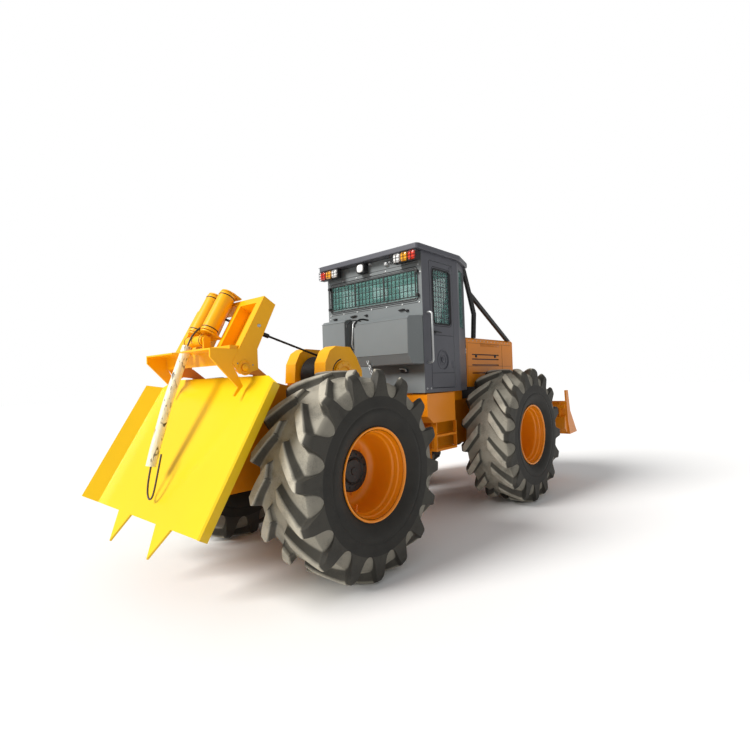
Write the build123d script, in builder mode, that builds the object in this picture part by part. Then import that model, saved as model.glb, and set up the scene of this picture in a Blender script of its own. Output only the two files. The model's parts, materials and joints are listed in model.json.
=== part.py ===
"""Cable skidder: an articulated four-wheel forestry tractor with a winch, a line arch and a front blade.

Millimetres. +X is forward, +Y is the machine's left, +Z is up. While the pieces are made, X is measured
from the rear axle. The finished machine is then moved so that the origin is the middle of its box on the
ground. Y = 0 is the middle plane.
"""

import os
from math import acos, atan2, cos, degrees, hypot, radians, sin, sqrt, tan

from build123d import *

# ---------------------------------------------------------------- driving dimensions

wheelbase = 2850
track = 1786  # between the middle planes of the wheels
tyre_radius = 795  # to the tips of the lugs
tyre_width = 587
lug_count = 16  # in each of a tyre's two rows
lug_height = 53
lug_width = 56  # across the top of a lug's bar
lug_lean = 17  # degrees round the tyre from a lug's inner end to its outer end
lug_start = 55  # from the tyre's middle plane to a lug's inner end
lug_knee = 50  # from the tyre's side in to where a lug turns straight out
lug_taper = 15  # degrees
lug_foot = 600  # how near the axle the lugs reach
carcass_turn = 2.8  # degrees from a flat's edge to a lug's inner end
rim_radius = 356  # outside of the flange
bead_radius = 330
rim_width = 508
hub_radius = 165
hub_face = 800  # where the planetary hub's face stands, from the middle plane
axle_gap = 0.3

pivot_x = 1200  # the articulation pin, ahead of the rear axle
pivot_pin_radius = 45
frame_half = 400
frame_plate = 25
frame_bottom = 700
frame_top = 1240
rear_bulkhead_x = 780
front_bulkhead_x = 1800
lug_plate = 40

steer_z = 905
steer_front = (550, 330)  # the barrel's pin, ahead of the pivot and out from the middle
steer_rear = (-250, 250)  # the rod's pin
ram_pin_radius = 18
ram_eye = 40

cab_rear_x = 1292
cab_taper_x = 1980  # where the sides start to close in
cab_front_x = 2350
cab_hood_gap = 22
cab_half = 694
cab_front_half = 556
cab_floor_z = 1358
cab_belt_z = 2050
cab_roof_z = 2815
cab_wall = 40
roof_thick = 62
roof_over = 42
roof_front_over = 34
roof_rear_over = 114
roof_corner = 45

door_rear_x = cab_rear_x + 133
door_front_x = cab_rear_x + 580
door_bottom_z = 1400
door_top_z = 2745
door_gap = 6
door_window_x = (cab_rear_x + 206, cab_rear_x + 506)
door_window_z = (2092, 2652)
rear_window_z = (2345, 2629)
rear_window_half = cab_half - 52
mesh_bar = 6

hood_half = 550
hood_rear_x = cab_front_x + cab_hood_gap
hood_front_x = wheelbase + 770
hood_top_z = 1990
hood_bottom_z = 1390
hood_sheet = 5
louvre_x = (133, 833)  # from and to, ahead of the hood's rear edge
louvre_rise = (395, 338, 265, 165)  # the slots' heights above the hood's lower edge
louvre_slot = 14
vent_x = (350, 850)  # the first and last upright slot, ahead of the hood's rear edge
vent_rise = 520
vent_count = 18
vent_size = (10, 44)
grille_slats = 12
grille_rim = 45
nose_x = wheelbase + 840
nose_z = 1420

tank_rear_x = 1320
tank_tyre_gap = 203
tank_front_x = wheelbase - tyre_radius - tank_tyre_gap
tank_inner_y = 500
tank_bottom_z = 1038
tank_top_z = 1350

blade_half = 1150
blade_top_z = 1135
blade_horn_z = 1285
blade_edge_z = 688
blade_back_x = wheelbase + 1135
blade_tip_x = blade_back_x + 356
blade_pivot = (wheelbase + 200, 850)
blade_lift_pin = (wheelbase + 650, 1300)  # the barrels' pin on the frame
blade_rod_pin = (wheelbase + 610, 720)  # the rods' pin on the arms
blade_arm_y = 436
blade_arm_thick = 54
blade_ram_y = 525
blade_pin_radius = 35
blade_beam_z = (1033, 1097)
blade_box_z = (705, 950)
blade_rib_y = (300, 720, 1060)

plate_slope = 31.5  # degrees from upright, its foot to the rear
plate_foot = (-1249, 567)
plate_half = 859
plate_length = 1168
plate_thick = 16
wing_width = 140
wing_fold = 52

arch_pivot = (-699, 1627)
arch_half = 504
arch_inner = 165
arch_sheet = 16
arch_pin_radius = 30

boss_proud = 10

roller_radius = 66
roller_y = 97
roller_foot = (-757, 1904)
roller_head = (-562, 2245)
roller_pin = 22
shelf_x = -976
shelf_z = 1765
lower_roller_radius = 43
lower_roller = (-800, 1852)
lower_roller_half = 130

deck_z = 1485
winch_x = 530
winch_z = 1575
drum_radius = 158
drum_half = 132
winch_half = 290
winch_inner = 140
line_radius = 7
ferrule = (-150, 1938)

# ---------------------------------------------------------------- making and keeping pieces

pieces = {}


def keep(part, name):
    """Label a finished piece and keep it for the export at the end."""
    part.label = name
    pieces[name] = part


def side(y):
    """The plane of a plate that stands fore and aft, seen from the right: x forward, y up."""
    return Plane(origin=(0, y, 0), x_dir=(1, 0, 0), z_dir=(0, -1, 0))


def tangent_point(centre, radius, outside):
    """Where the line from an (x, z) point outside a circle touches the circle's top."""
    dx, dz = outside[0] - centre[0], outside[1] - centre[1]
    angle = atan2(dz, dx) - acos(radius / hypot(dx, dz))
    return (centre[0] + radius * cos(angle), centre[1] + radius * sin(angle))


def ram_barrel(plane, length, radius, rod_radius, eye):
    """A ram's barrel along the plane's x from its pin at the origin, open at its far end."""
    neck = eye + 26
    with BuildPart() as barrel:
        with BuildSketch(plane):
            with BuildLine():
                Polyline(
                    (0, 0), (0, radius * 0.6), (neck, radius * 0.6), (neck, radius), (length - 30, radius),
                    (length - 30, radius + 8), (length, radius + 8), (length, rod_radius + axle_gap),
                    (neck + 15, rod_radius + axle_gap), (neck + 15, 0), close=True,
                )
            make_face()
        revolve(axis=Axis(plane.origin, plane.x_dir))
        with BuildSketch(plane):
            Circle(eye)
        extrude(amount=eye * 0.7, both=True)
        with BuildSketch(plane):
            Circle(ram_pin_radius + axle_gap)
        extrude(amount=eye, both=True, mode=Mode.SUBTRACT)
    return barrel.part


def ram_rod(plane, length, radius, eye):
    """A ram's rod along the plane's x, with its eye at the origin."""
    with BuildPart() as rod:
        with BuildSketch(plane):
            with BuildLine():
                Polyline((0, 0), (0, radius), (length, radius), (length, 0), close=True)
            make_face()
        revolve(axis=Axis(plane.origin, plane.x_dir))
        with BuildSketch(plane):
            Circle(eye)
        extrude(amount=eye * 0.7, both=True)
        with BuildSketch(plane):
            Circle(ram_pin_radius)
        extrude(amount=eye * 0.7 + 3, both=True)
    return rod.part


# ---------------------------------------------------------------- wheels

axle_z = tyre_radius
wheel_y = track / 2
tyre_outer_y = wheel_y + tyre_width / 2
tyre_inner_y = wheel_y - tyre_width / 2
rim_outer_y = wheel_y + rim_width / 2
rim_inner_y = wheel_y - rim_width / 2


carcass_sections = [  # from the middle plane, out from the axle
    (tyre_width / 2, lug_foot), (tyre_width / 2 - 36, tyre_radius - lug_height - 52),
    (0, tyre_radius - lug_height),
]
carcass_sections += [(-y, radius) for y, radius in reversed(carcass_sections[:2])]
bead_sides = 12

with BuildPart() as carcass:
    for y, radius in carcass_sections:
        with BuildSketch(Plane.XZ.offset(-y)):
            RegularPolygon(radius, side_count=lug_count, rotation=carcass_turn)
    loft(ruled=True)
    for hand in (1, -1):  # the recess that the rim's flange sits in
        with BuildSketch(Plane.XZ.offset(-hand * tyre_width / 2)):
            RegularPolygon(bead_radius + 120, side_count=bead_sides)
        with BuildSketch(Plane.XZ.offset(-hand * (rim_width / 2 - 14))):
            RegularPolygon(rim_radius + 6, side_count=bead_sides, major_radius=False)
        loft(ruled=True, mode=Mode.SUBTRACT)
    with BuildSketch(Plane.XZ):
        RegularPolygon(bead_radius, side_count=bead_sides, major_radius=False)
    extrude(amount=tyre_width, both=True, mode=Mode.SUBTRACT)

lug_middle = radians(lug_lean / 2)
lug_reach = tyre_radius * sin(lug_middle)
lug_half = lug_width / 2
lug_top = sqrt(tyre_radius**2 - (lug_reach + lug_half) ** 2)
lug_deep = lug_top - lug_foot + 30
knee_y = tyre_width / 2 - lug_knee
mitre = lug_half * tan(atan2(2 * lug_reach, knee_y - lug_start) / 2)
lug_outline = [  # across, round the tyre: aslant from near the middle, then straight out
    (lug_start, -lug_reach - lug_half), (knee_y + mitre, lug_reach - lug_half),
    (tyre_width / 2 + 60, lug_reach - lug_half), (tyre_width / 2 + 60, lug_reach + lug_half),
    (knee_y - mitre, lug_reach + lug_half), (lug_start, -lug_reach + lug_half),
]
lug_section = [  # across, out from the axle: flat on top, bevelled at the shoulder
    (0, lug_foot - 60), (0, lug_top), (tyre_width / 2 - 58, lug_top), (tyre_width / 2, lug_top - 50),
    (tyre_width / 2, lug_foot - 60),
]
outward = Plane(origin=(0, 0, 0), x_dir=(0, 1, 0), z_dir=(cos(lug_middle), 0, sin(lug_middle)))
endwise = Plane(origin=(0, 0, 0), x_dir=(0, 1, 0), z_dir=(sin(lug_middle), 0, -cos(lug_middle)))
with BuildPart() as lug:
    with BuildSketch(outward.offset(lug_top)):
        with BuildLine():
            Polyline(*lug_outline, close=True)
        make_face()
    extrude(amount=-lug_deep, taper=-lug_taper)
    with BuildSketch(endwise):
        with BuildLine():
            Polyline(*lug_section, close=True)
        make_face()
    extrude(amount=lug_reach * 4, both=True, mode=Mode.INTERSECT)

with BuildPart() as left_tyre:
    add(carcass.part)
    inner_lug = lug.part.mirror(Plane.XZ)
    for step in range(lug_count):
        add(lug.part.rotate(Axis.Y, -360 / lug_count * step))
        add(inner_lug.rotate(Axis.Y, -360 / lug_count * (step + 0.5)))


# so that a lug stands on the ground
lug_corner = degrees(atan2(lug_reach + lug_half, lug_top)) - lug_lean / 2


def tyre(x, hand):
    """A tyre round the axle at x; hand is +1 on the left side and -1 on the right."""
    shape = left_tyre.part if hand == 1 else left_tyre.part.mirror(Plane.XZ)
    shape = shape.rotate(Axis.Y, -lug_corner)
    with BuildPart() as placed_tyre:
        add(shape.moved(Location((x, hand * wheel_y, axle_z))))
    return placed_tyre.part


def rim(x, hand):
    """A wheel's rim, its dished disc and its hub, bored for the axle's spindle."""
    seat = rim_width / 2
    disc = hub_face - wheel_y
    with BuildPart() as wheel:
        with BuildSketch(Plane(origin=(x, hand * wheel_y, axle_z), x_dir=(0, hand, 0), z_dir=(hand, 0, 0))):
            with BuildLine():
                Polyline(
                    (-seat, rim_radius), (-seat + 14, rim_radius), (-seat + 14, bead_radius),
                    (seat - 14, bead_radius), (seat - 14, rim_radius),
                    (seat, rim_radius), (seat, bead_radius - 8),
                    (seat - 70, bead_radius - 24), (seat - 120, bead_radius - 48),
                    (disc + 60, bead_radius - 60),
                    (disc + 24, bead_radius - 78), (disc + 24, hub_radius), (disc + hub_cap, hub_radius),
                    (disc + hub_cap, 0), (disc + 35, 0), (disc + 35, spindle_radius + axle_gap),
                    (disc - 70, spindle_radius + axle_gap), (disc - 70, hub_radius), (disc, hub_radius),
                    (disc, bead_radius - 70), (-seat + 60, bead_radius - 20),
                    (-seat, bead_radius - 8), close=True,
                )
            make_face()
        revolve(axis=Axis((x, 0, axle_z), (0, 1, 0)))
    return wheel.part


spindle_radius = 70
hub_cap = 95  # how far a hub stands out of its disc
axles = {"rear": 0, "front": wheelbase}
hands = {"left": 1, "right": -1}
for end, axle_x in axles.items():
    for hand_name, hand in hands.items():
        keep(tyre(axle_x, hand), f"tyre_{end}_{hand_name}")
        keep(rim(axle_x, hand), f"rim_{end}_{hand_name}")

# ---------------------------------------------------------------- axles with their shafts

axle_tube_radius = 105
diff_radius = 190
spindle_end = hub_face + 32
shaft_radius = 42


def axle(x, shaft_to):
    """An axle: the bowl in the middle, tubes, spindles in the hubs, and the drive shaft along X."""
    hub_inner = hub_face - 70 - 8
    towards = 1 if shaft_to > x else -1
    with BuildPart() as housing:
        with BuildSketch(Plane(origin=(x, 0, axle_z), x_dir=(0, 1, 0), z_dir=(1, 0, 0))):
            with BuildLine():
                Polyline(
                    (-spindle_end, 0), (-spindle_end, spindle_radius), (-hub_inner, spindle_radius),
                    (-hub_inner, axle_tube_radius), (-diff_radius, axle_tube_radius),
                    (-diff_radius * 0.55, diff_radius),
                    (diff_radius * 0.55, diff_radius), (diff_radius, axle_tube_radius),
                    (hub_inner, axle_tube_radius),
                    (hub_inner, spindle_radius), (spindle_end, spindle_radius), (spindle_end, 0), close=True,
                )
            make_face()
        revolve(axis=Axis((x, 0, axle_z), (0, 1, 0)))
        with BuildSketch(Plane(origin=(x, 0, axle_z), x_dir=(0, 1, 0), z_dir=(towards, 0, 0))):
            Circle(110)
        extrude(amount=diff_radius + 60)
        with BuildSketch(Plane(origin=(x, 0, axle_z), x_dir=(0, 1, 0), z_dir=(towards, 0, 0))):
            Circle(shaft_radius)
        extrude(amount=abs(shaft_to - x))
    return housing.part


yoke_gap = 60  # from the pin's line to the end of each shaft's tube
with BuildPart() as rear_axle:
    add(axle(0, pivot_x - yoke_gap - 30))
    with BuildSketch(Plane(origin=(pivot_x - yoke_gap - 30, 0, axle_z), x_dir=(0, 1, 0), z_dir=(1, 0, 0))):
        Rectangle(60, 44)
    extrude(amount=yoke_gap + 30)
    with BuildSketch(Plane.XY.offset(axle_z)):
        with Locations((pivot_x, 0)):
            Circle(30)
    extrude(amount=22, both=True)
keep(rear_axle.part, "rear_axle")

with BuildPart() as front_axle:
    add(axle(wheelbase, pivot_x + yoke_gap))
    for height in (axle_z + 30, axle_z - 54):
        with BuildSketch(Plane.XY.offset(height)):
            with Locations((pivot_x + 55, 0)):
                Rectangle(110, 60)
            with Locations((pivot_x, 0)):
                Circle(30)
        extrude(amount=24)
    with BuildSketch(Plane(origin=(pivot_x + yoke_gap, 0, axle_z), x_dir=(0, 1, 0), z_dir=(1, 0, 0))):
        Rectangle(60, 108)
    extrude(amount=50)
keep(front_axle.part, "front_axle")

# ---------------------------------------------------------------- frames and their pivot

upper_lug_z = 1090
lower_lug_z = 560
lug_clear = 6
boss_radius = 110

slope = tan(radians(plate_slope))
plate_front_x = plate_foot[0] + plate_thick / cos(radians(plate_slope))


def on_plate(z):
    """A point of the butt plate's front face at a height, as (x, z)."""
    return (plate_front_x + (z - plate_foot[1]) * slope, z)


rear_plate_outline = [  # x, z of one side plate of the rear frame
    (rear_bulkhead_x, frame_bottom), (rear_bulkhead_x, frame_top), (760, deck_z), (-240, deck_z),
    (-420, 1530), on_plate(1530), on_plate(frame_bottom + 60), (-900, frame_bottom),
]
with BuildPart() as rear_frame:
    for hand in hands.values():
        with BuildSketch(side(hand * (frame_half - frame_plate / 2))):
            with BuildLine():
                Polyline(*rear_plate_outline, close=True)
            make_face()
            with Locations((0, axle_z)):
                Circle(axle_tube_radius, mode=Mode.SUBTRACT)
        extrude(amount=frame_plate / 2, both=True)
    inner = frame_half - frame_plate
    cross_plates = [  # x from, x to, z from, z to
        (rear_bulkhead_x - 30, rear_bulkhead_x, lower_lug_z, frame_top),
        (-240, 760, deck_z - 25, deck_z),
        (-900, -870, frame_bottom, 960),
        (-360, -330, frame_bottom, 1500),
    ]
    for x0, x1, z0, z1 in cross_plates:
        with BuildSketch(side(0)):
            with Locations(((x0 + x1) / 2, (z0 + z1) / 2)):
                Rectangle(x1 - x0, z1 - z0)
        extrude(amount=inner, both=True)
    for lug_z in (upper_lug_z, lower_lug_z):
        with BuildSketch(Plane.XY.offset(lug_z)):
            with BuildLine():
                Polyline(
                    (rear_bulkhead_x - 60, -inner), (rear_bulkhead_x - 60, inner), (rear_bulkhead_x, inner),
                    (pivot_x, boss_radius), (pivot_x, -boss_radius), (rear_bulkhead_x, -inner), close=True,
                )
            make_face()
            with Locations((pivot_x, 0)):
                Circle(boss_radius)
                Circle(pivot_pin_radius + axle_gap, mode=Mode.SUBTRACT)
        extrude(amount=lug_plate)
    with BuildSketch(Plane(origin=(rear_bulkhead_x, 0, axle_z), x_dir=(0, 1, 0), z_dir=(-1, 0, 0))):
        Circle(shaft_radius + 30)
    extrude(amount=30, mode=Mode.SUBTRACT)
    for hand in hands.values():
        for level in (steer_z + 36, steer_z - 56):
            with BuildSketch(Plane.XY.offset(level)):
                with BuildLine():
                    Polyline(
                        (rear_bulkhead_x - 35, hand * (steer_rear[1] - 90)),
                        (rear_bulkhead_x - 35, hand * inner),
                        (pivot_x + steer_rear[0] + 20, hand * (steer_rear[1] + 50)),
                        (pivot_x + steer_rear[0] + 50, hand * steer_rear[1]),
                        (pivot_x + steer_rear[0] + 20, hand * (steer_rear[1] - 50)), close=True,
                    )
                make_face()
            extrude(amount=20)
        for level in (steer_z + 56, steer_z - 66):
            with BuildSketch(Plane.XY.offset(level)):
                with Locations((pivot_x + steer_rear[0], hand * steer_rear[1])):
                    Circle(ram_pin_radius + 12)
            extrude(amount=10)
        with BuildSketch(side(hand * (arch_half - 46))):
            with BuildLine():
                px, pz = arch_pivot
                Polyline(
                    (-590, 1400), (-590, 1572), (px, pz - 42), (px, pz + 42),
                    (-600, 1650), (-440, 1530), (-420, 1400),
                    close=True,
                )
            make_face()
            with Locations(arch_pivot):
                Circle(42)
        extrude(amount=20, both=True)
        with BuildSketch(side(hand * (arch_half - 16))):
            with Locations(arch_pivot):
                Circle(arch_pin_radius)
        extrude(amount=26, both=True)
        with BuildSketch(side(hand * (frame_half + 20))):
            with Locations((-505, 1435)):
                Rectangle(170, 70)
        extrude(amount=25, both=True)
    with BuildSketch(side(0)):
        with Locations((winch_x, winch_z)):
            Circle(drum_radius + 12)
    extrude(amount=winch_inner, both=True, mode=Mode.SUBTRACT)
keep(rear_frame.part, "rear_frame")

front_plate_outline = [  # x, z of one side plate of the front frame
    (front_bulkhead_x, frame_bottom), (front_bulkhead_x, frame_top), (nose_x - 290, frame_top),
    (nose_x - 290, frame_top + 120), (nose_x - 90, frame_top + 120), (nose_x - 90, nose_z), (nose_x, nose_z),
    (nose_x, frame_bottom + 200), (nose_x - 150, frame_bottom),
]
fork_z = [upper_lug_z + lug_plate + lug_clear, upper_lug_z - lug_clear - 30]
fork_z += [lower_lug_z + lug_plate + lug_clear, lower_lug_z - lug_clear - 30]
with BuildPart() as front_frame:
    for hand in hands.values():
        with BuildSketch(side(hand * (frame_half - frame_plate / 2))):
            with BuildLine():
                Polyline(*front_plate_outline, close=True)
            make_face()
            with Locations((wheelbase, axle_z)):
                Circle(axle_tube_radius, mode=Mode.SUBTRACT)
        extrude(amount=frame_plate / 2, both=True)
    front_cross = [  # x from, x to, z from, z to
        (front_bulkhead_x, front_bulkhead_x + 30, lower_lug_z - lug_clear - 30, frame_top),
        (nose_x - 30, nose_x, frame_bottom + 200, nose_z),
    ]
    for x0, x1, z0, z1 in front_cross:
        with BuildSketch(side(0)):
            with Locations(((x0 + x1) / 2, (z0 + z1) / 2)):
                Rectangle(x1 - x0, z1 - z0)
        extrude(amount=inner, both=True)
    with BuildSketch(Plane.XY.offset(frame_top)):
        with Locations(((cab_rear_x + cab_front_x) / 2, 0)):
            Rectangle(cab_front_x - cab_rear_x - 40, 2 * frame_half)
    extrude(amount=30)
    for hand in hands.values():
        with BuildSketch(Plane.XY.offset(frame_top + 30)):
            with Locations(((cab_rear_x + cab_front_x) / 2, hand * (inner + tank_inner_y) / 2)):
                Rectangle(cab_front_x - cab_rear_x - 60, tank_inner_y - inner)
        extrude(amount=cab_floor_z - frame_top - 30)
        with BuildSketch(Plane.XY.offset(frame_top)):
            with Locations(((cab_rear_x + cab_front_x) / 2, hand * (inner + tank_inner_y) / 2)):
                Rectangle(cab_front_x - cab_rear_x - 60, tank_inner_y - inner)
        extrude(amount=30)
    with BuildSketch(Plane(origin=(front_bulkhead_x, 0, axle_z), x_dir=(0, 1, 0), z_dir=(1, 0, 0))):
        Circle(shaft_radius + 30)
    extrude(amount=30, mode=Mode.SUBTRACT)
    for plate_z in fork_z:
        with BuildSketch(Plane.XY.offset(plate_z)):
            with BuildLine():
                Polyline(
                    (front_bulkhead_x, -inner), (front_bulkhead_x, inner), (front_bulkhead_x - 30, inner),
                    (pivot_x + 60, boss_radius), (pivot_x, boss_radius), (pivot_x, -boss_radius),
                    (pivot_x + 60, -boss_radius), (front_bulkhead_x - 30, -inner), close=True,
                )
            make_face()
            with Locations((pivot_x, 0)):
                Circle(boss_radius)
        extrude(amount=30)
    for lug_z in (upper_lug_z, lower_lug_z):
        with BuildSketch(Plane.XY.offset(lug_z - lug_clear - 55)):
            with Locations((pivot_x, 0)):
                Circle(pivot_pin_radius)
        extrude(amount=lug_plate + 2 * lug_clear + 110)
    for hand in hands.values():
        for level in (steer_z + 36, steer_z - 56):
            with BuildSketch(Plane.XY.offset(level)):
                with BuildLine():
                    x_pin, y_pin = pivot_x + steer_front[0], steer_front[1]
                    Polyline(
                        (front_bulkhead_x + 5, hand * (y_pin - 50)), (x_pin - 20, hand * (y_pin - 50)),
                        (x_pin - 50, hand * y_pin), (x_pin - 20, hand * (y_pin + 45)),
                        (front_bulkhead_x + 5, hand * (y_pin + 45)), close=True,
                    )
                make_face()
            extrude(amount=20)
        with BuildSketch(Plane.XY.offset(steer_z - 56)):
            with Locations((x_pin, hand * y_pin)):
                Circle(ram_pin_radius)
        extrude(amount=112)
        arm_outside = blade_arm_y + blade_arm_thick / 2
        with BuildSketch(side(hand * (frame_half + arm_outside) / 2)):
            with Locations(blade_pivot):
                Circle(blade_pin_radius)
        extrude(amount=(arm_outside - frame_half) / 2 + 8, both=True)
        with BuildSketch(side(hand * (arm_outside + 14))):
            with Locations(blade_pivot):
                Circle(blade_pin_radius + 15)
        extrude(amount=8, both=True)
        ram_in = blade_ram_y - ram_eye * 0.7
        with BuildSketch(side(hand * (frame_half + ram_in - 5) / 2)):
            px, pz = blade_lift_pin
            with BuildLine():
                Polyline(
                    (px - 60, pz - 40), (px - 45, pz + 45), (px + 45, pz + 45),
                    (px + 60, pz - 40), close=True,
                )
            make_face()
        extrude(amount=(ram_in - 5 - frame_half) / 2, both=True)
        with BuildSketch(side(hand * blade_ram_y)):
            with Locations(blade_lift_pin):
                Circle(ram_pin_radius)
        extrude(amount=ram_eye * 0.7 + 8, both=True)
keep(front_frame.part, "front_frame")

# ---------------------------------------------------------------- steering rams

steer_barrel_length = 500
steer_rod_length = 505
for hand_name, hand in hands.items():
    start = (pivot_x + steer_front[0], hand * steer_front[1], steer_z)
    end = (pivot_x + steer_rear[0], hand * steer_rear[1], steer_z)
    out = Plane(origin=start, x_dir=(end[0] - start[0], end[1] - start[1], 0), z_dir=(0, 0, 1))
    back = Plane(origin=end, x_dir=(start[0] - end[0], start[1] - end[1], 0), z_dir=(0, 0, 1))
    keep(ram_barrel(out, steer_barrel_length, 42, 22, ram_eye), f"steering_barrel_{hand_name}")
    keep(ram_rod(back, steer_rod_length, 22, ram_eye), f"steering_rod_{hand_name}")

# ---------------------------------------------------------------- engine and hood

engine_x = (cab_front_x + 100, hood_front_x - 310)
engine_z = (1050, 1810)
with BuildPart() as engine:
    with BuildSketch(side(0)):
        with Locations((sum(engine_x) / 2, sum(engine_z) / 2)):
            Rectangle(engine_x[1] - engine_x[0], engine_z[1] - engine_z[0])
    extrude(amount=300, both=True)
keep(engine.part, "engine_block")


def hood_outline(inset):
    """The hood's outline across, as (y, z), set in by a thickness."""
    half, top = hood_half - inset, hood_top_z - inset
    return [
        (-half, hood_bottom_z), (-half, top - 20), (-half + 20, top), (half - 20, top), (half, top - 20),
        (half, hood_bottom_z),
    ]


across = Plane(origin=(hood_rear_x, 0, 0), x_dir=(0, 1, 0), z_dir=(1, 0, 0))
with BuildPart() as hood:
    with BuildSketch(across):
        with BuildLine():
            Polyline(*hood_outline(0), *reversed(hood_outline(hood_sheet)), close=True)
        make_face()
    extrude(amount=hood_front_x - hood_rear_x)
    # the long slots down both sides, and the row of short upright ones over them
    with BuildSketch(side(0)):
        for rise in louvre_rise:
            with Locations((hood_rear_x + sum(louvre_x) / 2, hood_bottom_z + rise)):
                Rectangle(louvre_x[1] - louvre_x[0], louvre_slot)
        with Locations((hood_rear_x + sum(vent_x) / 2, hood_bottom_z + vent_rise)):
            with GridLocations((vent_x[1] - vent_x[0]) / (vent_count - 1), 0, vent_count, 1):
                Rectangle(*vent_size)
    extrude(amount=hood_half + 10, both=True, mode=Mode.SUBTRACT)
keep(hood.part, "hood")

grille_half = hood_half - hood_sheet - grille_rim
grille_z = (hood_bottom_z + grille_rim, hood_top_z - hood_sheet - grille_rim)
grille_pitch = (grille_z[1] - grille_z[0]) / (grille_slats + 1)
with BuildPart() as grille:
    with BuildSketch(across.offset(hood_front_x - hood_rear_x - 50)):
        with BuildLine():
            Polyline(*hood_outline(hood_sheet), close=True)
        make_face()
        with Locations((0, sum(grille_z) / 2)):
            Rectangle(2 * grille_half, grille_z[1] - grille_z[0], mode=Mode.SUBTRACT)
            with GridLocations(0, grille_pitch, 1, grille_slats):
                Rectangle(2 * grille_half, grille_pitch * 0.35)
            Rectangle(grille_rim, grille_z[1] - grille_z[0])
    extrude(amount=30)
keep(grille.part, "radiator_grille")

# ---------------------------------------------------------------- cab

cab_plan = [  # x, y of the cab's left side
    (cab_rear_x, cab_half), (cab_taper_x, cab_half), (cab_front_x, cab_front_half),
]
cab_ring = cab_plan + [(x, -y) for x, y in reversed(cab_plan)]
window_z = (cab_belt_z + 30, cab_roof_z - 70)
corner_window = 250  # the width of the narrow windows in the tapered corners
cab_across = Plane(origin=(0, 0, 0), x_dir=(0, 1, 0), z_dir=(1, 0, 0))


def cab_corner(hand):
    """The upright plane of a tapered corner: x forward along it, y up from the ground."""
    middle = ((cab_taper_x + cab_front_x) / 2, hand * (cab_half + cab_front_half) / 2, 0)
    along = (cab_front_x - cab_taper_x, hand * (cab_front_half - cab_half), 0)
    return Plane(origin=middle, x_dir=along, z_dir=(along[1], -along[0], 0))


with BuildPart() as cab:
    with BuildSketch(Plane.XY.offset(cab_floor_z)) as cab_floor:
        with BuildLine():
            Polyline(*cab_ring, close=True)
        make_face()
    extrude(amount=cab_roof_z - cab_floor_z)
    with BuildSketch(Plane.XY.offset(cab_floor_z + cab_wall)):
        add(cab_floor.sketch)
        offset(amount=-cab_wall, kind=Kind.INTERSECTION)
    extrude(amount=cab_roof_z - cab_floor_z, mode=Mode.SUBTRACT)
    # door openings right through both sides
    with BuildSketch(side(0)):
        with Locations(((door_rear_x + door_front_x) / 2, (door_bottom_z + door_top_z) / 2)):
            Rectangle(door_front_x - door_rear_x, door_top_z - door_bottom_z)
    extrude(amount=cab_half + 10, both=True, mode=Mode.SUBTRACT)
    # rear window and windscreen
    with BuildSketch(cab_across.offset(cab_rear_x + cab_wall / 2)):
        with Locations((0, sum(rear_window_z) / 2)):
            Rectangle(2 * rear_window_half, rear_window_z[1] - rear_window_z[0])
    extrude(amount=cab_wall, both=True, mode=Mode.SUBTRACT)
    with BuildSketch(cab_across.offset(cab_front_x - cab_wall / 2)):
        with Locations((0, sum(window_z) / 2)):
            Rectangle(2 * (cab_front_half - 70), window_z[1] - window_z[0])
    extrude(amount=cab_wall, both=True, mode=Mode.SUBTRACT)
    # the narrow windows in the tapered corners
    for hand in hands.values():
        with BuildSketch(cab_corner(hand)):
            with Locations((0, sum(window_z) / 2)):
                Rectangle(corner_window, window_z[1] - window_z[0])
        extrude(amount=cab_wall * 2, both=True, mode=Mode.SUBTRACT)
keep(cab.part, "cab_shell")

screen_rim = 22
screen_out = 34  # from the cab's back to the far side of the screen
screen_pane = 2 * rear_window_half / 3
with BuildPart() as screen:
    # three framed panes of square mesh over the rear window, on short feet
    with BuildSketch(cab_across.offset(cab_rear_x - screen_out)):
        with Locations((0, sum(rear_window_z) / 2)):
            Rectangle(2 * rear_window_half, rear_window_z[1] - rear_window_z[0])
            with GridLocations(screen_pane, 0, 3, 1):
                Rectangle(
                    screen_pane - screen_rim, rear_window_z[1] - rear_window_z[0] - screen_rim, mode=Mode.SUBTRACT,
                )
                with GridLocations(screen_pane / 8, 0, 7, 1):
                    Rectangle(mesh_bar, rear_window_z[1] - rear_window_z[0] - screen_rim)
                with GridLocations(0, (rear_window_z[1] - rear_window_z[0]) / 4, 1, 3):
                    Rectangle(screen_pane - screen_rim, mesh_bar)
    extrude(amount=mesh_bar)
    with BuildSketch(cab_across.offset(cab_rear_x)):
        for y in (-rear_window_half - 8, rear_window_half + 8):
            with Locations((y, sum(rear_window_z) / 2)):
                with GridLocations(0, rear_window_z[1] - rear_window_z[0] - 40, 1, 2):
                    Rectangle(screen_rim, 30)
    extrude(amount=-screen_out)
keep(screen.part, "rear_screen")

roof_plan = [  # x, y of the roof's left edge
    (cab_rear_x - roof_rear_over, cab_half + roof_over), (cab_taper_x, cab_half + roof_over),
    (cab_front_x + roof_front_over, cab_front_half + roof_over),
]
with BuildPart() as roof:
    with BuildSketch(Plane.XY.offset(cab_roof_z)):
        with BuildLine():
            Polyline(*roof_plan, *[(x, -y) for x, y in reversed(roof_plan)], close=True)
        make_face()
    extrude(amount=roof_thick)
    fillet(roof.edges().filter_by(Axis.Z), radius=roof_corner)
keep(roof.part, "cab_roof")

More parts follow.
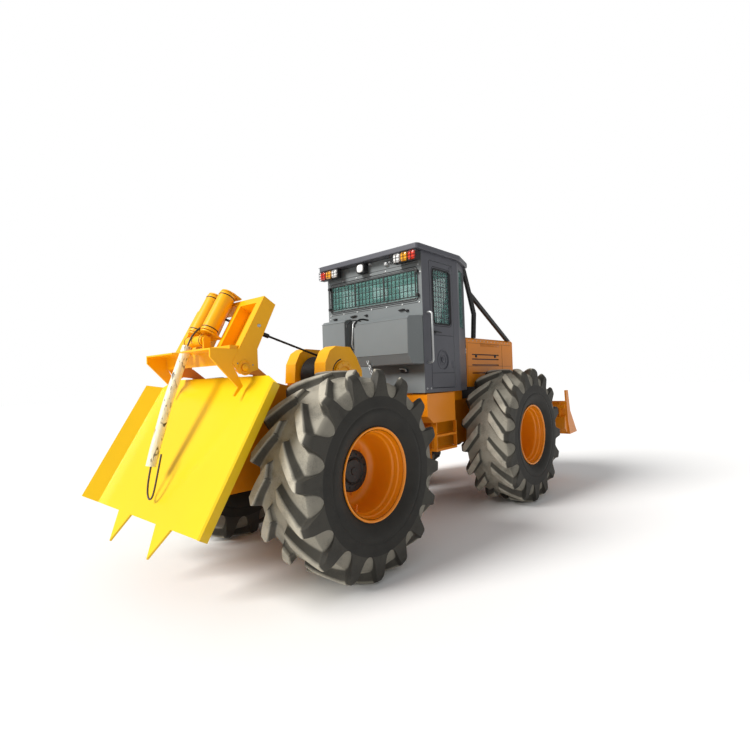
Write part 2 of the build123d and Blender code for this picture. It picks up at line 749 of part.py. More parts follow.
glass = 6
with BuildPart() as cab_glass:
    with BuildSketch(cab_across.offset(cab_rear_x + 14)):
        with Locations((0, sum(rear_window_z) / 2)):
            Rectangle(2 * rear_window_half, rear_window_z[1] - rear_window_z[0])
    extrude(amount=glass)
    with BuildSketch(cab_across.offset(cab_front_x - 20)):
        with Locations((0, sum(window_z) / 2)):
            Rectangle(2 * (cab_front_half - 70), window_z[1] - window_z[0])
    extrude(amount=glass)
    for hand in hands.values():
        with BuildSketch(cab_corner(hand).offset(hand * 20)):
            with Locations((0, sum(window_z) / 2)):
                Rectangle(corner_window, window_z[1] - window_z[0])
        extrude(amount=glass)
keep(cab_glass.part, "cab_glass")

# ---------------------------------------------------------------- doors

door_middle = ((door_rear_x + door_front_x) / 2, (door_bottom_z + door_top_z) / 2)
door_size = (door_front_x - door_rear_x - 2 * door_gap, door_top_z - door_bottom_z - 2 * door_gap)
pane_middle = (sum(door_window_x) / 2, sum(door_window_z) / 2)
pane_size = (door_window_x[1] - door_window_x[0], door_window_z[1] - door_window_z[0])
for hand_name, hand in hands.items():
    with BuildPart() as door:
        with BuildSketch(side(hand * (cab_half - cab_wall / 2))):
            with Locations(door_middle):
                Rectangle(*door_size)
            with Locations(pane_middle):
                Rectangle(*pane_size, mode=Mode.SUBTRACT)
        extrude(amount=cab_wall / 2, both=True)
        with BuildSketch(side(hand * cab_half)):  # the round pressing low on the door
            with Locations((door_rear_x + 212, door_bottom_z + 294)):
                Circle(100)
        extrude(amount=7, both=True, mode=Mode.SUBTRACT)
        with BuildSketch(side(hand * (cab_half - mesh_bar / 2 - 3))):  # the mesh outside the glass
            with Locations(pane_middle):
                with GridLocations(pane_size[0] / 6, 0, 5, 1):
                    Rectangle(mesh_bar, pane_size[1])
                with GridLocations(0, pane_size[1] / 10, 1, 9):
                    Rectangle(pane_size[0], mesh_bar)
        extrude(amount=mesh_bar / 2, both=True)
    keep(door.part, f"door_{hand_name}")
    with BuildPart() as pane:
        with BuildSketch(side(hand * (cab_half - cab_wall / 2))):
            with Locations(pane_middle):
                Rectangle(*pane_size)
        extrude(amount=glass / 2, both=True)
    keep(pane.part, f"door_glass_{hand_name}")

# ---------------------------------------------------------------- inside the cab

seat_x = cab_rear_x + 348
seat_top = 1830
steering_middle = (cab_front_x - 265, 2095)
steering_tilt = 32
steering_radius = 185
with BuildPart() as fittings:
    with BuildSketch(Plane.XY.offset(cab_floor_z + cab_wall)):
        with Locations((seat_x, 0)):
            Rectangle(380, 400)
    extrude(amount=seat_top - 130 - cab_floor_z - cab_wall)
    with BuildSketch(Plane.XY.offset(cab_floor_z + cab_wall)):
        with Locations((cab_front_x - cab_wall - 90, 0)):
            Rectangle(180, 700)
    extrude(amount=580)
    # the steering wheel on its column
    hub = (steering_middle[0], 0, steering_middle[1])
    rise_x, rise_z = cos(radians(steering_tilt)), sin(radians(steering_tilt))
    with BuildSketch(Plane(origin=hub, x_dir=(rise_x, 0, rise_z), z_dir=(0, 1, 0))):
        with Locations((steering_radius, 0)):
            Circle(14)
    revolve(axis=Axis(hub, (-rise_z, 0, rise_x)))
    with BuildSketch(Plane(origin=hub, x_dir=(rise_x, 0, rise_z), z_dir=(-rise_z, 0, rise_x))):
        with PolarLocations(steering_radius / 2, 3):
            Rectangle(steering_radius, 26)
        Circle(34)
    extrude(amount=5, both=True)
    with BuildSketch(Plane(origin=hub, x_dir=(rise_x, 0, rise_z), z_dir=(-rise_z, 0, rise_x))):
        Circle(26)
    extrude(amount=-185)
keep(fittings.part, "cab_fittings")

with BuildPart() as seat:
    with BuildSketch(Plane.XY.offset(seat_top - 130)):
        with Locations((seat_x + 10, 0)):
            RectangleRounded(480, 480, 60)
    extrude(amount=130)
    with BuildSketch(side(0)):
        with BuildLine():
            Polyline(
                (seat_x - 230, seat_top - 60), (seat_x - 120, seat_top - 60), (seat_x - 135, seat_top + 130),
                (seat_x - 190, 2420), (seat_x - 270, 2420), close=True,
            )
        make_face()
    extrude(amount=225, both=True)
keep(seat.part, "seat")

# ---------------------------------------------------------------- on the cab: boxes, lamps, tubes, rails

box_outline = [  # x, z of the large locker's end
    (cab_rear_x, 1655), (1100, 1655), (1030, 1760), (1030, 2105), (1065, 2135), (cab_rear_x, 2160),
]
small_outline = [(cab_rear_x, 1860), (1172, 1860), (1172, 2180), (1195, 2205), (cab_rear_x, 2225)]
with BuildPart() as lockers:
    with BuildSketch(side(-cab_half)):
        with BuildLine():
            Polyline(*box_outline, close=True)
        make_face()
    extrude(amount=-(cab_half + 40))
    with BuildSketch(side(315)):
        with BuildLine():
            Polyline(*small_outline, close=True)
        make_face()
    extrude(amount=-(cab_half - 315))
keep(lockers.part, "rear_lockers")

lamp_x = (cab_rear_x - 100, cab_rear_x - 44)
lamp_y = 560
lamp_wide = 288
lamp_high = 108
with BuildPart() as lamps:
    for hand in hands.values():
        with BuildSketch(Plane.XY.offset(cab_roof_z - lamp_high)):
            with Locations((sum(lamp_x) / 2, hand * lamp_y)):
                Rectangle(lamp_x[1] - lamp_x[0], lamp_wide)
        extrude(amount=lamp_high)
        with BuildSketch(cab_across.offset(lamp_x[0])):  # three round lenses in each cluster
            with Locations((hand * lamp_y, cab_roof_z - lamp_high / 2)):
                with GridLocations(lamp_wide / 3, 0, 3, 1):
                    Circle(lamp_wide / 6 - 6)
        extrude(amount=-14)
    with BuildSketch(cab_across.offset(lamp_x[0] + 30)):  # the work lamp
        with Locations((80, cab_roof_z - 56)):
            Rectangle(110, 112)
    extrude(amount=60)
    with BuildSketch(cab_across.offset(lamp_x[0] + 30)):
        with Locations((80, cab_roof_z - 60)):
            Circle(42)
    extrude(amount=-14)
keep(lamps.part, "rear_lamps")

riser_radius = 30
riser_y = 535
riser_head = (cab_front_x + 34, cab_roof_z + 10)
riser_knee = (cab_front_x + 158, 2541)
riser_foot = (hood_front_x - 75, hood_top_z - 20)
riser_elbow = (cab_front_x + 258, 2290)
riser_rear_foot = (cab_front_x + 225, hood_top_z - 20)
with BuildPart() as risers:
    for hand in hands.values():
        for points in ((riser_head, riser_knee, riser_foot), (riser_knee, riser_elbow, riser_rear_foot)):
            with BuildLine():
                run = Polyline(*[(x, hand * riser_y, z) for x, z in points])
            with BuildSketch(Plane(origin=run @ 0, z_dir=run % 0)):
                Circle(riser_radius)
            sweep(path=run, transition=Transition.ROUND)
        with BuildSketch(side(hand * riser_y)):
            with Locations(((cab_front_x + riser_head[0]) / 2, cab_roof_z - 55)):
                Rectangle(riser_head[0] - cab_front_x, 60)
        extrude(amount=20, both=True)
    with BuildSketch(side(0)):
        with Locations(((cab_front_x + hood_front_x) / 2, hood_top_z - 50), (cab_front_x, cab_roof_z + 50)):
            Rectangle(hood_front_x - cab_front_x, 100)
    extrude(amount=cab_half, both=True, mode=Mode.SUBTRACT)
keep(risers.part, "limb_risers")

with BuildPart() as tanks:
    for hand in hands.values():
        with BuildSketch(side(hand * (tank_inner_y + cab_half) / 2)):
            with BuildLine():
                Polyline(
                    (tank_rear_x, tank_top_z), (tank_rear_x, 1112), (tank_rear_x + 105, tank_bottom_z),
                    (tank_front_x, tank_bottom_z), (tank_front_x, tank_top_z), close=True,
                )
            make_face()
        extrude(amount=(cab_half - tank_inner_y) / 2, both=True)
keep(tanks.part, "side_tanks")

step_z = 735
ladder_x = (tank_rear_x + 156, tank_front_x + 6)
with BuildPart() as ladders:
    for hand in hands.values():
        for x in ladder_x:
            with BuildSketch(Plane.XY.offset(step_z)):
                with Locations((x, hand * (cab_half - 20))):
                    Rectangle(12, 40)
            extrude(amount=tank_bottom_z - step_z)
        for z in (step_z, step_z + 150):
            with BuildSketch(Plane.XY.offset(z)):
                with Locations((sum(ladder_x) / 2, hand * (cab_half - 45))):
                    Rectangle(ladder_x[1] - ladder_x[0] + 12, 90)
            extrude(amount=25)
keep(ladders.part, "ladders")

rail_x = cab_rear_x + 73
with BuildPart() as rails:
    for hand in hands.values():
        with BuildLine():
            grip = FilletPolyline(
                (rail_x, hand * cab_half, 2190), (rail_x, hand * (cab_half + 62), 2190),
                (rail_x, hand * (cab_half + 62), 1670), (rail_x, hand * cab_half, 1670), radius=30,
            )
        with BuildSketch(Plane(origin=grip @ 0, z_dir=grip % 0)):
            Circle(11)
        sweep(path=grip)
keep(rails.part, "grab_rails")

# ---------------------------------------------------------------- blade with its arms and rams

with BuildPart() as blade:
    with BuildSketch(side(0)):
        with BuildLine():
            top_front = (blade_back_x + 60, blade_top_z)
            tip = (blade_tip_x, blade_edge_z - 1)
            rear_low = (blade_back_x + 75, blade_edge_z - 14)
            ThreePointArc(top_front, (blade_back_x + 105, 900), tip)
            Polyline(tip, rear_low, (blade_back_x, 900), (blade_back_x - 15, blade_top_z), top_front)
        make_face()
    extrude(amount=blade_half - 20, both=True)
    # the beam and the box section along the back
    low, high = blade_beam_z
    box_low, box_high = blade_box_z
    with BuildSketch(side(0)):
        with BuildLine():
            Polyline(
                (blade_back_x + 10, low), (blade_back_x - 52, low), (blade_back_x - 52, high - 20),
                (blade_back_x + 10, high), close=True,
            )
        make_face()
        with BuildLine():
            Polyline(
                (blade_back_x + 90, box_low), (blade_back_x + 10, box_low), (blade_back_x - 52, box_low + 60),
                (blade_back_x - 52, box_high - 40), (blade_back_x + 10, box_high), close=True,
            )
        make_face()
    extrude(amount=blade_half - 20, both=True)
    for rib_y in blade_rib_y:
        for hand in hands.values():
            with BuildSketch(side(hand * rib_y)):
                with BuildLine():
                    Polyline(
                        (blade_back_x + 20, box_high - 60), (blade_back_x - 46, box_high - 60),
                        (blade_back_x - 46, high - 20), (blade_back_x - 20, blade_top_z - 8),
                        (blade_back_x + 20, blade_top_z - 8), close=True,
                    )
                make_face()
            extrude(amount=8, both=True)
    for hand in hands.values():
        with BuildSketch(side(hand * (blade_half - 10))):
            with BuildLine():
                Polyline(
                    (blade_back_x - 35, blade_horn_z), (blade_back_x + 55, blade_horn_z),
                    (blade_back_x + 115, 1000),
                    tip, rear_low, (blade_back_x + 15, 880), close=True,
                )
            make_face()
        extrude(amount=10, both=True)
        with BuildSketch(side(hand * blade_arm_y)):
            px, pz = blade_pivot
            with BuildLine():
                Polyline(
                    (px - 50, pz - 55), (blade_rod_pin[0] - 60, blade_rod_pin[1] - 30),
                    (blade_rod_pin[0] + 60, blade_rod_pin[1] - 30), (blade_back_x + 30, 740),
                    (blade_back_x + 30, 960), (px + 60, pz + 60), (px - 40, pz + 50), close=True,
                )
            make_face()
            with Locations(blade_pivot):
                Circle(blade_pin_radius + axle_gap, mode=Mode.SUBTRACT)
        extrude(amount=blade_arm_thick / 2, both=True)
        with BuildSketch(side(hand * (arm_outside + 10))):
            with Locations(blade_rod_pin):
                Circle(ram_eye)
        extrude(amount=10, both=True)
keep(blade.part, "blade")

lift_barrel_length = 420
lift_rod_length = 430
with BuildPart() as lift_barrels:
    for hand in hands.values():
        start = (blade_lift_pin[0], hand * blade_ram_y, blade_lift_pin[1])
        run = (blade_rod_pin[0] - blade_lift_pin[0], 0, blade_rod_pin[1] - blade_lift_pin[1])
        add(ram_barrel(Plane(origin=start, x_dir=run, z_dir=(0, 1, 0)), lift_barrel_length, 44, 22, ram_eye))
keep(lift_barrels.part, "blade_barrels")
with BuildPart() as lift_rods:
    for hand in hands.values():
        start = (blade_rod_pin[0], hand * blade_ram_y, blade_rod_pin[1])
        run = (blade_lift_pin[0] - blade_rod_pin[0], 0, blade_lift_pin[1] - blade_rod_pin[1])
        add(ram_rod(Plane(origin=start, x_dir=run, z_dir=(0, 1, 0)), lift_rod_length, 22, ram_eye))
keep(lift_rods.part, "blade_rods")

# ---------------------------------------------------------------- butt plate

up = (sin(radians(plate_slope)), 0, cos(radians(plate_slope)))
rearward = (-up[2], 0, up[0])
foot = (plate_foot[0], 0, plate_foot[1])
plate_face = Plane(origin=foot, x_dir=(0, -1, 0), z_dir=rearward)
plate_section = Plane(origin=foot, x_dir=(0, -1, 0), z_dir=up)
wing_y = wing_width * cos(radians(wing_fold))
wing_b = wing_width * sin(radians(wing_fold))
with BuildPart() as butt_plate:
    with BuildSketch(plate_section):
        with BuildLine():
            t = plate_thick
            tan_half = sin(radians(wing_fold)) / (1 + cos(radians(wing_fold)))
            nx, ny = t * sin(radians(wing_fold)), t * cos(radians(wing_fold))
            right = [
                (plate_half, 0), (plate_half + wing_y, -wing_b), (plate_half + wing_y + nx, -wing_b + ny),
                (plate_half + t * tan_half, t),
            ]
            Polyline(*right, *[(-a, b) for a, b in reversed(right)], close=True)
        make_face()
    extrude(amount=plate_length)
    with BuildSketch(plate_face):
        for hand in (1, -1):
            with BuildLine():
                Polyline(
                    (hand * 700, plate_length + 1), (hand * (plate_half + 120), plate_length + 1),
                    (hand * (plate_half + 120), plate_length - 120),
                    (hand * (plate_half + 86), plate_length - 112),
                    close=True,
                )
            make_face()
    extrude(amount=200, both=True, mode=Mode.SUBTRACT)
    with BuildSketch(plate_face):
        for hand in (1, -1):
            with BuildLine():
                Polyline(
                    (hand * 209, 10), (hand * 209, 0), (hand * 313, -215), (hand * 425, 0), (hand * 425, 10),
                    close=True,
                )
            make_face()
    extrude(amount=-plate_thick)
keep(butt_plate.part, "butt_plate")

# ---------------------------------------------------------------- arch with the fairlead

leg_rear_low = (-806, 1663)
leg_rear_top = (-509, 2176)
leg_front_top = (-407, 2117)
leg_bend = (-586, 1766)
leg_front_low = (-584, 1612)
lean = degrees(atan2(leg_rear_top[0] - leg_rear_low[0], leg_rear_top[1] - leg_rear_low[1]))
leg_up = (sin(radians(lean)), 0, cos(radians(lean)))
leg_rearward = (-leg_up[2], 0, leg_up[0])
leg_face = Plane(origin=(leg_rear_low[0], 0, leg_rear_low[1]), x_dir=(0, -1, 0), z_dir=leg_rearward)


def on_leg(z):
    """A point of the legs' rear face at a height, as (x, z)."""
    return (leg_rear_low[0] + (z - leg_rear_low[1]) * tan(radians(lean)), z)


leg_length = hypot(leg_rear_top[0] - leg_rear_low[0], leg_rear_top[1] - leg_rear_low[1])
with BuildPart() as arch:
    for hand in hands.values():
        with BuildSketch(side(hand * (arch_half + arch_inner) / 2)):
            with BuildLine():
                Polyline(
                    leg_rear_low, leg_rear_top, leg_front_top, leg_bend, (-640, 1700), (-760, 1660), close=True,
                )
            make_face()
        extrude(amount=(arch_half - arch_inner) / 2, both=True)
        with BuildSketch(side(hand * (arch_half - arch_sheet / 2))):
            with BuildLine():
                Polyline(
                    leg_rear_low, (-640, 1740), leg_bend, leg_front_low,
                    (-640, 1596), (-690, 1572), (-745, 1583),
                    close=True,
                )
            make_face()
            with Locations(arch_pivot):
                Circle(arch_pin_radius + axle_gap, mode=Mode.SUBTRACT)
        extrude(amount=arch_sheet / 2, both=True)
    with BuildSketch(leg_face):
        for hand in hands.values():
            with Locations((hand * 329, leg_length / 2 + 40)):
                Rectangle(214, leg_length - 190)
    extrude(amount=-95, mode=Mode.SUBTRACT)
    # the cross head between the legs
    with BuildSketch(side(0)):
        with BuildLine():
            Polyline(
                leg_rear_top, leg_front_top,
                (leg_front_top[0] - 35 * leg_up[0], leg_front_top[1] - 35 * leg_up[2]),
                (leg_rear_top[0] - 35 * leg_up[0], leg_rear_top[1] - 35 * leg_up[2]), close=True,
            )
        make_face()
    extrude(amount=arch_inner + 5, both=True)
keep(arch.part, "arch")

roller_axis = (roller_head[0] - roller_foot[0], 0, roller_head[1] - roller_foot[1])
roller_span = hypot(roller_axis[0], roller_axis[2])
cap_thick = 12
cap_gap = 5
cap_plane = Plane(origin=(roller_foot[0], 0, roller_foot[1]), x_dir=(0, 1, 0), z_dir=roller_axis)
with BuildPart() as fairlead:
    for hand in hands.values():
        with BuildSketch(side(hand * (arch_half - arch_sheet / 2))):
            with BuildLine():
                Polyline(
                    (shelf_x, shelf_z), on_leg(shelf_z), leg_rear_low,
                    (-774, 1600), (-720, 1492), (-786, 1418),
                    (-802, 1428), (-764, 1484), (shelf_x, 1700), close=True,
                )
            make_face()
        extrude(amount=arch_sheet / 2, both=True)
    # the shelf between the ears, notched for the line, and the beam under it
    with BuildSketch(side(0)):
        with BuildLine():
            Polyline(
                (shelf_x, shelf_z), on_leg(shelf_z), on_leg(shelf_z - 12),
                (shelf_x, shelf_z - 12), close=True,
            )
        make_face()
    extrude(amount=arch_half - arch_sheet, both=True)
    with BuildSketch(side(0)):
        with Locations((-902, shelf_z)):
            Rectangle(168, 40)
    extrude(amount=52, both=True, mode=Mode.SUBTRACT)
    with BuildSketch(side(0)):
        with BuildLine():
            Polyline((-812, 1649), (-812, 1790), on_leg(1790), leg_rear_low, close=True)
        make_face()
    extrude(amount=arch_half - arch_sheet, both=True)
    # the plates that hold the rollers' pins
    for level in (0, roller_span - cap_thick):
        with BuildSketch(cap_plane.offset(level)):
            with Locations((0, -45)):
                Rectangle(2 * arch_inner, 90)
            with Locations((-roller_y, 0), (roller_y, 0)):
                Circle(roller_radius - 4)
            with Locations((0, 40)):
                Rectangle(44, 110, mode=Mode.SUBTRACT)
        extrude(amount=cap_thick)
    with BuildSketch(cap_plane):
        with Locations((-roller_y, 0), (roller_y, 0)):
            Circle(roller_pin)
    extrude(amount=roller_span)
    with BuildSketch(side(0)):
        with Locations((lower_roller[0] + 4, lower_roller[1] - 22)):
            Rectangle(60, 90)
        with Locations(lower_roller):
            Circle(30)
    extrude(amount=lower_roller_half + 25, both=True)
    with BuildSketch(side(0)):
        with Locations((lower_roller[0] + 4, lower_roller[1] - 7)):
            Rectangle(130, 110)
    extrude(amount=lower_roller_half + 5, both=True, mode=Mode.SUBTRACT)
    with BuildSketch(side(0)):
        with Locations(lower_roller):
            Circle(roller_pin)
    extrude(amount=lower_roller_half + 10, both=True)
keep(fairlead.part, "fairlead_frame")

for hand_name, hand in hands.items():
    with BuildPart() as roller:
        with BuildSketch(cap_plane.offset(cap_thick + cap_gap)):
            with Locations((hand * roller_y, 0)):
                Circle(roller_radius)
                Circle(roller_pin + axle_gap, mode=Mode.SUBTRACT)
        extrude(amount=roller_span - 2 * (cap_thick + cap_gap))
    keep(roller.part, f"fairlead_roller_{hand_name}")

with BuildPart() as lower:
    with BuildSketch(side(0)):
        with Locations(lower_roller):
            Circle(lower_roller_radius)
            Circle(roller_pin + axle_gap, mode=Mode.SUBTRACT)
    extrude(amount=lower_roller_half, both=True)
keep(lower.part, "fairlead_roller_lower")

# ---------------------------------------------------------------- winch

cheek = [  # x, z of a cheek, from its rear foot round to its front foot
    (285, 1500), (300, 1685), (360, 1795), (440, 1840), (630, 1835), (720, 1735), (790, 1605), (790, 1500),
]
shaft_bore = 40
slot_radius = 142
slot_deep = 22
with BuildPart() as winch:
    for hand in hands.values():
        with BuildSketch(side(hand * (winch_half + winch_inner) / 2)):
            with BuildLine():
                Polyline(*cheek, close=True)
            make_face()
        extrude(amount=(winch_half - winch_inner) / 2, both=True)
        with BuildSketch(side(hand * winch_half)):  # the curved slot and the shaft's cap
            SlotArc(CenterArc((winch_x, winch_z), slot_radius, 100, 75), height=26)
        extrude(amount=slot_deep, both=True, mode=Mode.SUBTRACT)
        with BuildSketch(side(hand * winch_half)):
            with Locations((winch_x, winch_z)):
                Circle(shaft_bore + 35)
        extrude(amount=boss_proud, both=True)
    with BuildSketch(Plane.XY.offset(deck_z)):
        with Locations((530, 0)):
            Rectangle(440, 2 * winch_half)
    extrude(amount=20)
    with BuildSketch(side(0)):
        with Locations((winch_x, winch_z)):
            Circle(drum_radius + 12)
    extrude(amount=winch_inner, both=True, mode=Mode.SUBTRACT)
    with BuildSketch(side(0)):
        with Locations((winch_x, winch_z)):
            Circle(shaft_bore + axle_gap)
    extrude(amount=winch_inner + 40, both=True, mode=Mode.SUBTRACT)
keep(winch.part, "winch_frame")

with BuildPart() as drum:
    with BuildSketch(side(0)):
        with Locations((winch_x, winch_z)):
            Circle(drum_radius)
    extrude(amount=drum_half, both=True)
    with BuildSketch(side(0)):
        with Locations((winch_x, winch_z)):
            Circle(shaft_bore)
    extrude(amount=winch_inner + 38, both=True)
keep(drum.part, "winch_drum")

line_start = tangent_point((winch_x, winch_z), drum_radius + line_radius + 1, ferrule)
line_end_x = -650
line_rise = (ferrule[1] - line_start[1]) / (ferrule[0] - line_start[0])
line_end = (line_end_x, ferrule[1] + (line_end_x - ferrule[0]) * line_rise)
with BuildPart() as line:
    with BuildLine():
        run = Line((line_start[0], 0, line_start[1]), (line_end[0], 0, line_end[1]))
    with BuildSketch(Plane(origin=run @ 0, z_dir=run % 0)):
        Circle(line_radius)
    sweep(path=run)
    with BuildSketch(Plane(origin=(ferrule[0], 0, ferrule[1]), z_dir=run % 0)):
        Circle(20)
    extrude(amount=35, both=True)
keep(line.part, "main_line")

# the line that hangs behind the fairlead, doubled back on itself, and the film wrapped round it
hanging_points = [  # x, y, z from between the rollers to the tucked-in end
    (-768, 0, 1962), (-826, 0, 1918), (-880, 0, 1810), (-925, 0, 1692), (-985, 0, 1540), (-1050, 0, 1370),
    (-1100, 0, 1200), (-1145, 2, 1060), (-1180, 0, 930), (-1202, 2, 820), (-1212, -4, 740), (-1216, -36, 702),
    (-1210, -74, 716), (-1196, -88, 780), (-1168, -86, 900), (-1135, -74, 1020),
]
wrap_radius = 36
wrap_points = hanging_points[2:9]


def corner_radii(points):
    """The arc at each corner of a route: 0.45 of the shorter run over the tangent of half the turn."""
    radii = []
    for a, b, c in zip(points, points[1:], points[2:]):
        before, after = Vector(*b) - Vector(*a), Vector(*c) - Vector(*b)
        half_turn = radians(before.get_angle(after)) / 2
        radii.append(0.45 * min(before.length, after.length) / tan(half_turn))
    return radii


hanging_radii = corner_radii(hanging_points)
print("hanging_rope arc radii, mm:", [round(radius) for radius in hanging_radii])
with BuildPart() as rope:
    with BuildLine():
        route = FilletPolyline(*hanging_points, radius=hanging_radii)
    with BuildSketch(Plane(origin=route @ 0, z_dir=route % 0)):
        Circle(line_radius)
    sweep(path=route)
print("hanging_rope length, mm:", round(route.length))
keep(rope.part, "hanging_rope")

with BuildPart() as wrap:
    with BuildLine():
        route = FilletPolyline(*wrap_points, radius=corner_radii(wrap_points))
    with BuildSketch(Plane(origin=route @ 0, z_dir=route % 0)):
        Circle(wrap_radius)
        Circle(line_radius, mode=Mode.SUBTRACT)
    sweep(path=route)
keep(wrap.part, "rope_wrap")

# ---------------------------------------------------------------- export

boxes = [part.bounding_box() for part in pieces.values()]
middle_x = (min(box.min.X for box in boxes) + max(box.max.X for box in boxes)) / 2
os.makedirs("parts", exist_ok=True)
for name, part in pieces.items():
    placed = part.moved(Location((-middle_x, 0, 0)))
    placed.label = name
    export_step(placed, f"parts/{name}.step")
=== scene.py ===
"""Looks of an articulated cable skidder: paint, rubber, glass, rope and small fittings round the fixed frame.

Metres. +X is forward, +Y is the machine's left, +Z is up, and the origin is on the ground under the machine's
middle. Places come from the frame's boxes, so that each piece sits on the solid that carries it. A hand is 1
for the machine's left side and -1 for its right.
"""

from __future__ import annotations

import json
import logging
import math
from dataclasses import dataclass, field
from enum import Enum

import bmesh
import bpy
import numpy as np
from mathutils import Matrix, Vector

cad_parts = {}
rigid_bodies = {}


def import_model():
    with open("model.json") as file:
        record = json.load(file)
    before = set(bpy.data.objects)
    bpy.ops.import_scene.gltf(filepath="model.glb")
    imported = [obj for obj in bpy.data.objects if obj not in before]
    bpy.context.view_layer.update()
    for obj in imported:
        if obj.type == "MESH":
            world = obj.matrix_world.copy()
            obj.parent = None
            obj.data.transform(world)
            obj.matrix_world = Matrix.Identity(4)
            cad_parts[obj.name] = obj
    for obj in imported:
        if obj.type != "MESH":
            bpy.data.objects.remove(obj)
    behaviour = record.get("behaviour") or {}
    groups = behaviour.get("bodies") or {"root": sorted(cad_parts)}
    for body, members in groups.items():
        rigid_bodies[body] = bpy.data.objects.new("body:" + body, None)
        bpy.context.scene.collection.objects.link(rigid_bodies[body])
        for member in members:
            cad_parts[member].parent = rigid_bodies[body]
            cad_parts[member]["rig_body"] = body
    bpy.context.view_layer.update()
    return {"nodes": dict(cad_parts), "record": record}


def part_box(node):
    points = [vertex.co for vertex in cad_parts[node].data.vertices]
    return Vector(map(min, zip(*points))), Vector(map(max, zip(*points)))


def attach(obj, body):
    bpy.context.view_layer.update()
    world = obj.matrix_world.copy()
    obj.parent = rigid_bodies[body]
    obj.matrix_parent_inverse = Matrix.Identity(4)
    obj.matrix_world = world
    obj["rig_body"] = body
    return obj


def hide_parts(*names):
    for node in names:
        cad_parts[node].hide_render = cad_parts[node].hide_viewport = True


log = logging.getLogger("skidder")
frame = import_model()

Array = np.ndarray
Pair = tuple[float, float]
Triple = tuple[float, float, float]
Profile = tuple[Pair, ...]
Path = tuple[Triple, ...]
Colour = tuple[int, int, int]
Tree, Node, Socket = bpy.types.NodeTree, bpy.types.Node, bpy.types.NodeSocket
Sockets = dict[str | int, object]
REAR_AXLE = (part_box("tyre_rear_left")[0].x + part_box("tyre_rear_left")[1].x) / 2
SLOTS = {row["node"]: row.get("material_slot") for row in frame["record"]["subparts"]}
FULL_TURN = 2 * np.pi
FRONT, REAR, ARCH = "front_body", "rear_body", "arch_body"
UP, ALONG_X, ALONG_Y = (0.0, 0.0, 1.0), (1.0, 0.0, 0.0), (0.0, 1.0, 0.0)


def placed(points: Array) -> Array:
    """Points given ahead of the rear axle, in the frame's own coordinates."""
    return np.asarray(points, float) + (REAR_AXLE, 0.0, 0.0)


def from_axle(x: float, y: float, z: float) -> Array:
    """One point given ahead of the rear axle, in the frame's own coordinates."""
    return placed((x, y, z))


def side_name(hand: int) -> str:
    """The word for a side of the machine."""
    return "left" if hand > 0 else "right"


# ---------------------------------------------------------------- surfaces worked out with numpy


@dataclass
class Surface:
    """Patches gathered before they become one mesh: their points and their faces of three or more corners."""

    points: list[Array] = field(default_factory=list)
    faces: list[list[int]] = field(default_factory=list)
    count: int = 0

    def add(self, points: Array, faces: Array | list[list[int]]) -> "Surface":
        """Add a patch.

        Args:
            points: (n, 3) corners.
            faces: corner numbers within the patch, face by face.

        Returns:
            This surface, so that calls can be chained.
        """
        corners = np.asarray(points, float).reshape(-1, 3)
        rows = faces.tolist() if isinstance(faces, np.ndarray) else faces
        self.faces.extend([self.count + corner for corner in row] for row in rows)
        self.points.append(corners)
        self.count += len(corners)
        return self

    def join(self, other: "Surface") -> "Surface":
        """Take over every patch of another surface."""
        return self.add(np.concatenate(other.points), other.faces)

    def piece(self, name: str, coat: "Coat", body: str = FRONT, smooth: float = 35.0) -> bpy.types.Object:
        """Make the gathered patches an object that rides on a body.

        Args:
            name: the piece's name.
            coat: what it is made of.
            body: the frame's body that it moves with.
            smooth: edges turning by less than these degrees are shaded smooth.

        Returns:
            The new object.
        """
        mesh = bpy.data.meshes.new(name)
        mesh.from_pydata(np.concatenate(self.points).tolist(), [], self.faces)
        mesh.validate()
        return dress_mesh(mesh, name, coat, body, smooth)


def dress_mesh(
    mesh: bpy.types.Mesh, name: str, coat: "Coat", body: str, smooth: float, round_edges: float = 0.0
) -> bpy.types.Object:
    """Give a mesh its object, finish, shading, edge rounding and body.

    Args:
        mesh: the finished mesh, in place.
        name: the piece's name.
        coat: what it is made of.
        body: the body that carries it.
        smooth: the angle in degrees below which edges are shaded smooth.
        round_edges: bevel width in metres, 0 for none.

    Returns:
        The new object.
    """
    thing = bpy.data.objects.new(name, mesh)
    bpy.context.scene.collection.objects.link(thing)
    mesh.materials.clear()
    mesh.materials.append(coat.material())
    mesh.polygons.foreach_set("use_smooth", np.ones(len(mesh.polygons), bool))
    mesh.set_sharp_from_angle(angle=math.radians(smooth))
    if round_edges:
        bevel = thing.modifiers.new("rounded edges", "BEVEL")
        bevel.width = round_edges
        bevel.segments = 2
        bevel.limit_method = "ANGLE"
        bevel.angle_limit = math.radians(38)
        bevel.harden_normals = True
    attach(thing, body)
    return thing


def stand_for(piece: bpy.types.Object, node: str) -> None:
    """Let a piece replace a CAD node by hiding the node."""
    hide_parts(node)
    SLOTS.get(node)


def cad_copy(node: str, coat: "Coat", round_edges: float) -> bpy.types.Object:
    """Stand for a CAD node with a merged copy whose sharp edges are rounded.

    Args:
        node: the node's name.
        coat: what it is made of.
        round_edges: width of the rounding in metres.

    Returns:
        The new object, which replaces the node.
    """
    source = frame["nodes"][node]
    work = bmesh.new()
    work.from_mesh(source.data)
    bmesh.ops.remove_doubles(work, verts=work.verts, dist=2e-5)
    bmesh.ops.dissolve_limit(work, angle_limit=math.radians(0.6), verts=work.verts, edges=work.edges)
    mesh = bpy.data.meshes.new(f"{node}_shape")
    work.to_mesh(mesh)
    work.free()
    copy = dress_mesh(mesh, f"{node}_finished", coat, source["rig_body"], 32.0, round_edges)
    stand_for(copy, node)
    return copy


def box_middle(node: str) -> Array:
    """The middle of a CAD node's box."""
    low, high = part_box(node)
    return (np.array(low) + np.array(high)) / 2


